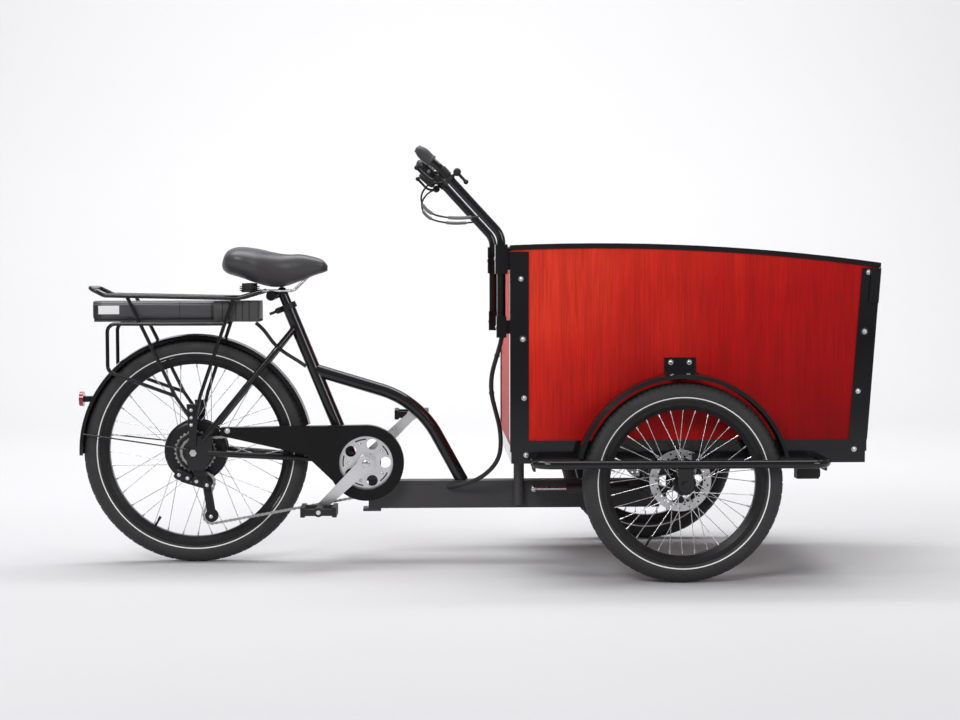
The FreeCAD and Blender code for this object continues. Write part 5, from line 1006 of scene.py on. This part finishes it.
def smooth_table(table, share):
    """A value read off a table of stations along a smooth curve through them."""
    shares = [row[0] for row in table]
    index = max(0, min(len(table) - 2, sum(1 for value in shares[1:-1] if share >= value)))
    rows = [table[max(0, min(len(table) - 1, index + step))] for step in (-1, 0, 1, 2)]
    width = rows[2][0] - rows[1][0]
    t = (share - rows[1][0]) / width
    values = []
    for column in range(1, len(table[0])):
        before, start, end, after = [row[column] for row in rows]
        left_span = max(rows[2][0] - rows[0][0], width)
        right_span = max(rows[3][0] - rows[1][0], width)
        rise_in = (end - before) / left_span * width
        rise_out = (after - start) / right_span * width
        values.append((2 * t ** 3 - 3 * t ** 2 + 1) * start + (t ** 3 - 2 * t ** 2 + t) * rise_in
                      + (-2 * t ** 3 + 3 * t ** 2) * end + (t ** 3 - t ** 2) * rise_out)
    return values


def saddle_ring(share):
    """One cross-section: a flat base, flanks that swell to the shoulder, and a crown with a channel."""
    half_share, low, crown = smooth_table(SADDLE_STATIONS, share)
    half = half_share * (SADDLE_HIGH.y - SADDLE_LOW.y) / 2 * SADDLE_WIDTH_SHARE
    x = SADDLE_LOW.x + share * (SADDLE_HIGH.x - SADDLE_LOW.x)
    base = SADDLE_LOW.z + low * MM
    top = SADDLE_LOW.z + min(crown * MM, SADDLE_HIGH.z - SADDLE_LOW.z)
    ring = []
    for angle in turns(SECTION_STEPS, -math.pi / 2):
        across = flattened(math.cos(angle), ACROSS_POWER)
        rise = 0.5 + 0.5 * flattened(math.sin(angle), RISE_POWER)
        draw_in = 1 - FOOT_DRAW + FOOT_DRAW * min(1.0, rise / FLANK_TOP)
        channel = 0.0
        if rise > CHANNEL_FOOT and CHANNEL_START < share < CHANNEL_END:
            channel = CHANNEL_DEPTH * math.exp(-(across * half / CHANNEL_WIDTH) ** 2)
        ring.append(Vector((x, half * across * draw_in, base + (top - base) * rise - channel)))
    return ring


def saddle():
    rings = [saddle_ring(share) for share in RING_SHARES]
    vertices = [spot for ring in rings for spot in ring]
    count = SECTION_STEPS
    faces = quads(len(rings), count)
    for start in (0, len(vertices) - count):
        vertices.append(sum(rings[start // count], Vector()) / count)
        hub = len(vertices) - 1
        faces += [(start + i, start + (i + 1) % count, hub) for i in range(count)]
    made = as_piece("saddle_pad", [(vertices, faces)], VINYL, "seat", ["saddle_cushion"])
    subdivided(made)
    return made


SADDLE = saddle()
print("saddle", len(SADDLE.data.vertices), "points")

# %% [markdown]
# Hoses and cables. Each bar's brake hose leaves its lever perch, loops below the bar and meets it
# again. The thick bundle comes down the back of the box and goes into the beam. Each is one smooth
# curve led by the points of its route.

# %% Hoses and cable bundle
# routes in millimetres: from the lever's pivot, from the bundle's start and from the dock's front corner
HOSE_ROUTE = (
    (0, 9.5, 0), (-11, 20, -5), (-29, 29, -17), (-44, 34, -40), (-40, 36, -68), (-14, 36, -90),
    (22, 33, -98), (58, 26, -100), (88, 17, -98), (107.6, 10, -96),
)
BUNDLE_ROUTE = (
    (6, 19, 45), (4, 23, 2), (-10, 40, -50), (-24, 54, -100), (-24, 70, -150), (-12, 88, -196),
    (0, 110, -240), (5, 134, -284), (2, 158, -326), (-16, 182, -360), (-46, 202, -388),
    (-80, 220, -405), (-112, 234, -415), (-134, 249.8, -421),
)
DOCK_CABLE_ROUTE = (
    (-14, -14, -4.1), (4, -14, -19), (19, -14, -39), (34, -14, -60),
    (54, -14, -79), (78, -14, -95), (103, -14, -110), (122.5, -14, -124),
)
BUNDLE_START = Vector((82, -280, 625)) * MM
DOCK_CORNER = Vector((-564, 0, 661)) * MM
HOSE_DIAMETER, DOCK_CABLE_DIAMETER, BUNDLE_DIAMETER = 5 * MM, 10 * MM, 12 * MM
# wraps and ties lie at shares of a cord's length
WRAP_RADIUS, WRAP_END_RADIUS = 4.6 * MM, 2.6 * MM
WRAP_SPANS = ((0.42, 0.56), (0.70, 0.93))
WRAP_SIDES = 16
TIE_PLACES = (0.12, 0.29)
TIE_HALF_WIDTH, TIE_SIDES = 1.8 * MM, 20
TIE_INNER, TIE_OUTER = BUNDLE_DIAMETER * 0.48, BUNDLE_DIAMETER * 0.62


def route_curve(name, points, diameter):
    """A smooth open curve with the route's points as its control points."""
    data = bpy.data.curves.new(name, "CURVE")
    data.dimensions = "3D"
    spline = data.splines.new("NURBS")
    spline.points.add(len(points) - 1)
    for point, spot in zip(spline.points, points):
        point.co = (*spot, 1.0)
    spline.order_u = 3
    spline.use_endpoint_u = True
    spline.resolution_u = 12
    data.bevel_depth = diameter / 2
    data.bevel_resolution = 5
    data.use_fill_caps = True
    return linked(name, data)


def centre_line(curve):
    """Points along a curve as Blender itself draws it."""
    depth = curve.data.bevel_depth
    curve.data.bevel_depth = 0
    bpy.context.view_layer.update()
    mesh = bpy.data.meshes.new_from_object(curve)
    points = [vertex.co.copy() for vertex in mesh.vertices]
    bpy.data.meshes.remove(mesh)
    curve.data.bevel_depth = depth
    return points


def length_of(points):
    return sum((after - before).length for before, after in zip(points, points[1:]))


def cord_tube(name, points, diameter):
    """A mesh tube along the route's smooth curve, and the line that it follows."""
    route = route_curve(f"{name}_route", points, diameter)
    line = centre_line(route)
    tube = bpy.data.meshes.new_from_object(route)
    bpy.data.objects.remove(route)
    tube.materials.clear()
    tube.materials.append(CABLE_SHEATH)
    smooth_faces(tube)
    made = linked(name, tube)
    return made, line


def wrap_parts(line, spans):
    """Sleeves of protective wrap over stretches of a hose, each a tube with drawn-in ends."""
    parts = []
    for start, end in spans:
        stretch = line[round(start * (len(line) - 1)):round(end * (len(line) - 1)) + 1]
        rings = []
        for index, spot in enumerate(stretch):
            ahead, behind = stretch[min(index + 1, len(stretch) - 1)], stretch[max(index - 1, 0)]
            heading = (ahead - behind).normalized()
            swell = WRAP_RADIUS if 0 < index < len(stretch) - 1 else WRAP_END_RADIUS
            across = heading.cross(Y_AXIS).normalized() * swell
            rings.append(oval(spot, across, across.cross(heading), WRAP_SIDES))
        parts.append(lofted(rings))
    return parts


def brake_hose(side):
    way = 1 if side == "left" else -1
    base = pivot(f"{side}_brake")
    points = [base + Vector((x, -way * y, z)) * MM for x, y, z in HOSE_ROUTE]
    hose, line = cord_tube(f"{side}_brake_hose", points, HOSE_DIAMETER)
    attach(hose, f"{side}_bar")
    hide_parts(f"{side}_controls")
    wrap = as_piece(f"{side}_hose_wrap", wrap_parts(line, WRAP_SPANS), CABLE_WRAP, f"{side}_bar")
    return line


def battery_cable():
    points = [DOCK_CORNER + Vector(step) * MM for step in DOCK_CABLE_ROUTE]
    cable, line = cord_tube("battery_cable", points, DOCK_CABLE_DIAMETER)
    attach(cable, "frame")
    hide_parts("battery_dock")
    return line


def tie_parts(line):
    """Narrow straps round the bundle's upper part, which stays with the box."""
    strap = band(TIE_HALF_WIDTH, TIE_INNER, TIE_OUTER)
    parts = []
    for share in TIE_PLACES:
        index = round(share * (len(line) - 1))
        parts.append(turned(strap, line[index], line[index + 1] - line[index - 1], TIE_SIDES))
    return parts


def cable_bundle():
    """The bundle crosses the steering joint; its tube is attached to no body, and its ties ride with the
    box.
    """
    points = [BUNDLE_START + Vector(step) * MM for step in BUNDLE_ROUTE]
    bundle, line = cord_tube("cable_loom", points, BUNDLE_DIAMETER)
    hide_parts("cable_bundle")
    ties = as_piece("loom_ties", tie_parts(line), RESIN, "front_module")
    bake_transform(bundle)
    return line


for side in SIDES:
    hose_line = brake_hose(side)
print("hose", round(length_of(hose_line), 3), "battery cable", round(length_of(battery_cable()), 3),
      "loom", round(length_of(cable_bundle()), 3))

# %% [markdown]
# The battery's dock is an extruded rail with a moulded block in front of the battery. The block's
# sides carry upright grooves, which belong to its outline, so the outline is drawn once and raised.

# %% Battery dock
DOCK_LOW, DOCK_HIGH = Vector((-1011, -58, 661)) * MM, Vector((-564, 58, 717)) * MM
DOCK_BLOCK_REAR = -686.7 * MM
DOCK_RAIL_HALF = 44 * MM
DOCK_RAIL_TOP = 668.7 * MM
DOCK_RAIL_EASE, DOCK_BLOCK_EASE = 0.8 * MM, 1.6 * MM
DOCK_CORNER_RADIUS, DOCK_CORNER_STEPS = 10 * MM, 5
RIB_COUNT, RIB_START, RIB_STEP, RIB_WIDTH = 5, 22 * MM, 18 * MM, 3 * MM


def raised(outline, low, high, ease):
    """Raise a flat outline into a solid whose top and bottom edges are slightly drawn in."""
    middle = sum((Vector(spot) for spot in outline), Vector((0, 0))) / len(outline)

    def ring(height, shrink):
        drawn = [Vector(spot) + (middle - Vector(spot)).normalized() * shrink for spot in outline]
        return [Vector((spot.x, spot.y, height)) for spot in drawn]

    return lofted([ring(low, ease), ring(low + ease, 0), ring(high - ease, 0), ring(high, ease)])


def ribbed_outline():
    """The block's plan, with square grooves down both sides and rounded front corners."""
    half = DOCK_HIGH.y
    side = [(DOCK_BLOCK_REAR, half)]
    for index in range(RIB_COUNT):
        start = DOCK_BLOCK_REAR + RIB_START + index * RIB_STEP
        end = start + RIB_WIDTH
        side += [(start, half), (start, half - RIB_WIDTH), (end, half - RIB_WIDTH), (end, half)]
    radius = DOCK_CORNER_RADIUS
    for step in range(DOCK_CORNER_STEPS + 1):
        angle = math.pi / 2 * step / DOCK_CORNER_STEPS
        side.append((DOCK_HIGH.x - radius + radius * math.sin(angle),
                     half - radius + radius * math.cos(angle)))
    return side + [(x, -y) for x, y in reversed(side)]


rail_plan = [(DOCK_LOW.x, -DOCK_RAIL_HALF), (DOCK_HIGH.x, -DOCK_RAIL_HALF), (DOCK_HIGH.x, DOCK_RAIL_HALF),
             (DOCK_LOW.x, DOCK_RAIL_HALF)]
dock_parts = [raised(rail_plan, DOCK_LOW.z, DOCK_RAIL_TOP, DOCK_RAIL_EASE),
              raised(ribbed_outline(), DOCK_LOW.z, DOCK_HIGH.z, DOCK_BLOCK_EASE)]
DOCK = as_piece("battery_dock_body", dock_parts, DOCK_RESIN, "frame", ["battery_dock"])
print("dock", len(DOCK.data.polygons), "faces")

# %% [markdown]
# The controls on each bar: a clamp round the tube with two ears for the brake lever, a ferrule
# where the hose leaves, and a switch pod with one pale button. They are turned and lofted, then
# joined into one piece for each bar.

# %% Lever perches and switch pods
# the left bar's points; the right bar is its mirror
BAR_NECK = Vector((-78, 280, 1064)) * MM
BAR_END = Vector((-135, 280, 1113)) * MM
BAR_BEND = Vector((82, 280, 890)) * MM
DOWN_BAR = (BAR_BEND - BAR_NECK).normalized()
UNDER_BAR = Vector((DOWN_BAR.z, 0, -DOWN_BAR.x))
ALONG_GRIP = (BAR_END - BAR_NECK).normalized()
ABOVE_GRIP = Vector((-ALONG_GRIP.z, 0, ALONG_GRIP.x))
BAR_RADIUS = 11.1 * MM
CLAMP_RADIUS, CLAMP_EASE = 13.5 * MM, 0.8 * MM
PERCH_DROP, PERCH_HALF = 19 * MM, 13 * MM
PERCH_SPOT = BAR_NECK + DOWN_BAR * PERCH_DROP
LEVER_OUT = 23 * MM
EAR_OFFSET, EAR_HALF = 6.55 * MM, 2.5 * MM
EAR_MIDDLE, EAR_RADIUS, EAR_EASE = 1 * MM, 10 * MM, 0.7 * MM
WEB_START, WEB_OFFSET, WEB_RADIUS = 12 * MM, 6.6 * MM, 2.4 * MM
FERRULE_START = Vector((0, -9.5, 0)) * MM
FERRULE_WAY = Vector((-11, -10.5, -5)).normalized()
FERRULE_LENGTH, FERRULE_RADIUS = 14 * MM, 3.8 * MM
POD_HALF = (27 * MM, 10 * MM, 11 * MM)
POD_SQUARENESS = 0.55
POD_CENTRE = BAR_NECK + ALONG_GRIP * 20 * MM + ABOVE_GRIP * 24 * MM - Y_AXIS * 30 * MM
POD_ARM_START = PERCH_SPOT - Y_AXIS * 10 * MM
POD_ARM_END = POD_CENTRE + DOWN_BAR * 8 * MM
POD_ARM_RADIUS = 5 * MM
BUTTON_SPOT = POD_CENTRE - ALONG_GRIP * 6 * MM + Y_AXIS * 9 * MM
# a dome's radius and height, and its washer's share of the radius where that is not the usual one
FLAT_WASHER = 1.2
EAR_BOLT = 3 * MM, 2 * MM
BUTTON = 5 * MM, 3 * MM, FLAT_WASHER


def clamp_band(drop, half):
    return turned(band(half, BAR_RADIUS, CLAMP_RADIUS, CLAMP_EASE), BAR_NECK + DOWN_BAR * drop, DOWN_BAR)


def perch_parts():
    pivot_spot = PERCH_SPOT + UNDER_BAR * LEVER_OUT
    parts = [clamp_band(PERCH_DROP, PERCH_HALF)]
    ear = band(EAR_HALF, EAR_MIDDLE, EAR_RADIUS, EAR_EASE)
    for outward in (-Y_AXIS, Y_AXIS):
        parts.append(capped_turn(ear, pivot_spot + outward * EAR_OFFSET, Y_AXIS))
        parts.append(dome(pivot_spot + outward * (EAR_OFFSET + EAR_HALF), outward, *EAR_BOLT))
        web = outward * WEB_OFFSET
        parts.append(along(PERCH_SPOT + UNDER_BAR * WEB_START + web, pivot_spot + web, WEB_RADIUS))
    first = pivot_spot + FERRULE_START
    parts.append(along(first, first + FERRULE_WAY * FERRULE_LENGTH, FERRULE_RADIUS))
    return parts


def pod_parts():
    """A rounded switch pod on the inner side of the perch, held by a short arm."""
    return [soft_block(POD_CENTRE, (ALONG_GRIP, Y_AXIS, ABOVE_GRIP), POD_HALF, POD_SQUARENESS),
            along(POD_ARM_START, POD_ARM_END, POD_ARM_RADIUS)]


def mirrored(parts):
    """The same parts on the other side of the tricycle's middle plane."""
    return [([at_side(spot, -spot.y) for spot in vertices], faces) for vertices, faces in parts]


def on_side(side, parts):
    """Parts that were drawn on the left bar, on either bar."""
    return mirrored(parts) if side == "right" else parts


def controls(side):
    parts = on_side(side, perch_parts() + pod_parts())
    button = on_side(side, [dome(BUTTON_SPOT, Y_AXIS, *BUTTON)])
    as_piece(f"{side}_perch_and_pod", parts, BLACK_ALLOY, f"{side}_bar", [f"{side}_controls"])
    as_piece(f"{side}_pod_button", button, CABLE_WRAP, f"{side}_bar")


for side in SIDES:
    controls(side)
print("perch parts", len(perch_parts()))

# %% [markdown]
# The derailleur's two knuckles and their link lie outside the cogs. Bright bolts mark its pivots,
# the jockey wheels' axles and the chain guard's fixing.

# %% Derailleur knuckles
KNUCKLE_REAR = Vector((-772, -65, 243)) * MM
KNUCKLE_FRONT = Vector((-722, -65, 224)) * MM
KNUCKLE_TILT = math.radians(-22)
KNUCKLE_AXES = spoke(KNUCKLE_TILT), Y_AXIS, spoke(KNUCKLE_TILT + math.pi / 2)
REAR_HALF, REAR_SQUARENESS = (25 * MM, 8 * MM, 15 * MM), 0.5
FRONT_HALF, FRONT_SQUARENESS = (28 * MM, 7.5 * MM, 11 * MM), 0.4
LINK_START = KNUCKLE_REAR + Vector((-6, 0, -12)) * MM
LINK_END = KNUCKLE_FRONT + Vector((12, 0, -14)) * MM
LINK_RADIUS = 4 * MM
KNUCKLE_FACE, CAGE_FACE = -73 * MM, -70 * MM
# forward and up, in millimetres
KNUCKLE_BOLTS = ((-783, 247), (-760, 238), (-736, 229), (-708, 219))
GUARD_BOLT_SPOT = Vector((-652, -66, 366)) * MM
PIVOT_BOLT = 3.4 * MM, 2.4 * MM
GUARD_BOLT = 5 * MM, 3.5 * MM

knuckles = [soft_block(KNUCKLE_REAR, KNUCKLE_AXES, REAR_HALF, REAR_SQUARENESS),
            soft_block(KNUCKLE_FRONT, KNUCKLE_AXES, FRONT_HALF, FRONT_SQUARENESS),
            along(LINK_START, LINK_END, LINK_RADIUS)]
as_piece("derailleur_knuckles", knuckles, BLACK_ALLOY, "frame")
pivot_spots = [Vector((x * MM, KNUCKLE_FACE, z * MM)) for x, z in KNUCKLE_BOLTS]
for jockey in ("jockey_upper", "jockey_lower"):
    low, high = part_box(jockey)
    pivot_spots.append(at_side((low + high) / 2, CAGE_FACE))
pivot_bolts = [dome(spot, -Y_AXIS, *PIVOT_BOLT) for spot in pivot_spots]
pivot_bolts.append(dome(GUARD_BOLT_SPOT, -Y_AXIS, *GUARD_BOLT))
as_piece("derailleur_bolts", pivot_bolts, BOLT_STEEL, "frame")
print("derailleur bolts", len(pivot_bolts))

# %% [markdown]
# The gear shifter sits on the upper side of the right bar: a clamp, a drum with a stepped cap, and
# the pin that the thumb lever turns on.

# %% Gear shifter
SHIFTER_DROP, SHIFTER_OUT = 40 * MM, 26 * MM
SHIFTER_CLAMP_HALF = 5 * MM
# the drum's profile in millimetres: distance along its axle and radius
DRUM = ((0.3, 1), (0.3, 9.2), (1.1, 10), (9, 10), (9.6, 9), (13, 8.4), (14.6, 7), (15, 1))
STEM_START, STEM_LAP, STEM_SIDE, STEM_RADIUS = 12 * MM, 5 * MM, 8 * MM, 4 * MM
SHIFT_PIN_INNER, SHIFT_PIN_OUTER, SHIFT_PIN_RADIUS = 10 * MM, 1 * MM, 2.4 * MM


def shifter():
    clamp = BAR_NECK + DOWN_BAR * SHIFTER_DROP
    axle = clamp - UNDER_BAR * SHIFTER_OUT
    drum = [(forward * MM, radius * MM) for forward, radius in DRUM]
    stem_foot = clamp - UNDER_BAR * STEM_START + Y_AXIS * STEM_SIDE
    stem_head = axle + UNDER_BAR * STEM_LAP + Y_AXIS * STEM_SIDE
    parts = [clamp_band(SHIFTER_DROP, SHIFTER_CLAMP_HALF), capped_turn(drum, axle, Y_AXIS)]
    parts.append(along(stem_foot, stem_head, STEM_RADIUS))
    parts.append(along(axle - Y_AXIS * SHIFT_PIN_INNER, axle + Y_AXIS * SHIFT_PIN_OUTER, SHIFT_PIN_RADIUS))
    return as_piece("shifter_body", mirrored(parts), RESIN, "right_bar", ["right_controls"])


print("shifter", len(shifter().data.polygons), "faces")

# %% [markdown]
# Each grip is one rubber form: a collar by the lever, a waist for the fingers, and an end that
# spreads into a wing under the palm. Oval rings along the bar's last stretch are joined into a
# skin, and a subdivision rounds it.

# %% Grips
# share of the grip's length, then half thickness and half width in millimetres
GRIP_STATIONS = (
    (0.00, 12.4, 12.4), (0.01, 15.2, 15.2), (0.03, 16.0, 16.0), (0.10, 16.0, 16.0), (0.13, 14.2, 14.6),
    (0.30, 15.6, 17.0), (0.48, 16.6, 21.0), (0.66, 15.6, 24.6), (0.80, 13.2, 25.6), (0.90, 10.2, 23.0),
    (0.97, 6.4, 16.0), (1.00, 2.4, 7.0),
)
GRIP_LENGTH = 55 * MM
GRIP_OVERHANG = 3 * MM
GRIP_SIDES = 24


def grip(side):
    tip = BAR_END + ALONG_GRIP * GRIP_OVERHANG
    rings = []
    for share, thick, wide in GRIP_STATIONS:
        centre = tip - ALONG_GRIP * GRIP_LENGTH * (1 - share)
        rings.append(oval(centre, ABOVE_GRIP * thick * MM, Y_AXIS * wide * MM, GRIP_SIDES))
    parts = on_side(side, [lofted(rings)])
    made = as_piece(f"{side}_palm_grip", parts, GRIP_RUBBER, f"{side}_bar", [f"{side}_grip"])
    subdivided(made)


for side in SIDES:
    grip(side)
print("grips made")

# %% [markdown]
# Domed bolts hold the box together. They are small, but a row of bright heads on black edging is
# what the eye reads as a built box, so each is a turned dome on its own washer. The chainring and
# the rack have smaller ones. The tyre valves are short turned stems on the rims.

# %% Bolts and valves
# each group's distance from the middle plane, and its places forward and up in millimetres
POST_FACE, SILL_FACE, SLEEVE_LINE, RACK_FACE = 318 * MM, 315 * MM, 280 * MM, 86 * MM
POST_BOLTS = ((131, 777), (139, 470.5), (1030, 793), (1005.4, 485.7), (996.4, 335), (518, 562), (566, 562))
RINGED_BOLTS = ((136, 622.6), (1021, 640))
SILL_BOLTS = ((144.5, 322.7),)
SLEEVE_SCREWS = ((66, 828), (69, 652))
RACK_BOLTS = ((-747, 424), (-747, 404), (-747, 384))
# each dome's radius and height
BOLT = 4.6 * MM, 3.6 * MM
SCREW = 4 * MM, 3 * MM
RING_BOLT = 3.6 * MM, 2 * MM
RACK_BOLT = 3.2 * MM, 2.6 * MM
BOSS_CAP = 10 * MM, 3 * MM, FLAT_WASHER
RING_FACE, BOSS_FACE = -49 * MM, -86 * MM
RING_BOLT_COUNT, RING_BOLT_CIRCLE, RING_BOLT_TURN = 5, 52 * MM, math.radians(37)
# the rubber collar's profile in millimetres: height and radius
COLLAR = ((0, 7), (0, 10.5), (1.6, 10), (2.2, 9), (1.6, 7))
# each valve's wheel, the radius that it stands on and its place round the rim in degrees
VALVES = (("rear_wheel", 238 * MM, 241), ("front_left_wheel", 188 * MM, 240),
          ("front_right_wheel", 188 * MM, 240))
VALVE_LENGTH, VALVE_RADIUS = 26 * MM, 3 * MM
CAP_LAP, CAP_REACH, CAP_RADIUS = 8 * MM, 3 * MM, 3.8 * MM


def on_both_sides(places, face):
    """Each place on the two faces, with the way that the face looks."""
    return [(Vector((x * MM, way * face, z * MM)), Y_AXIS * way) for way in (-1, 1) for x, z in places]


def box_bolts():
    heads = on_both_sides(POST_BOLTS + RINGED_BOLTS, POST_FACE) + on_both_sides(SILL_BOLTS, SILL_FACE)
    screws = on_both_sides(SLEEVE_SCREWS, SLEEVE_LINE)
    return ([dome(spot, out, *BOLT) for spot, out in heads]
            + [dome(spot, -X_AXIS, *SCREW) for spot, _ in screws])


def bolt_rings():
    """Rubber collars round the middle bolts."""
    collar = [(height * MM, radius * MM) for height, radius in COLLAR]
    return [turned(collar, spot, out) for spot, out in on_both_sides(RINGED_BOLTS, POST_FACE)]


def valve(body, reach, degrees):
    out = spoke(math.radians(degrees))
    foot = pivot(f"{body}_spin") + out * reach
    tip = foot - out * VALVE_LENGTH
    stem = along(foot, tip, VALVE_RADIUS)
    cap = along(tip + out * CAP_LAP, tip - out * CAP_REACH, CAP_RADIUS)
    as_piece(f"{body}_valve", [stem, cap], BLACK_ALLOY, body)


def chainring_bolts():
    middle = at_side(CRANK_AXLE, RING_FACE)
    spots = [middle + spoke(angle) * RING_BOLT_CIRCLE for angle in turns(RING_BOLT_COUNT, RING_BOLT_TURN)]
    cap = dome(at_side(CRANK_AXLE, BOSS_FACE), -Y_AXIS, *BOSS_CAP)
    return [cap] + [dome(spot, -Y_AXIS, *RING_BOLT) for spot in spots]


def rack_bolts():
    return [dome(spot, out, *RACK_BOLT) for spot, out in on_both_sides(RACK_BOLTS, RACK_FACE)]


for body, reach, degrees in VALVES:
    valve(body, reach, degrees)
as_piece("chainring_bolts", chainring_bolts(), BOLT_STEEL, "crankset")
as_piece("rack_bolts", rack_bolts(), BOLT_STEEL, "frame")
as_piece("box_bolts", box_bolts(), BOLT_STEEL, "front_module")
as_piece("bolt_collars", bolt_rings(), RESIN, "front_module")
print("bolts", len(box_bolts()))
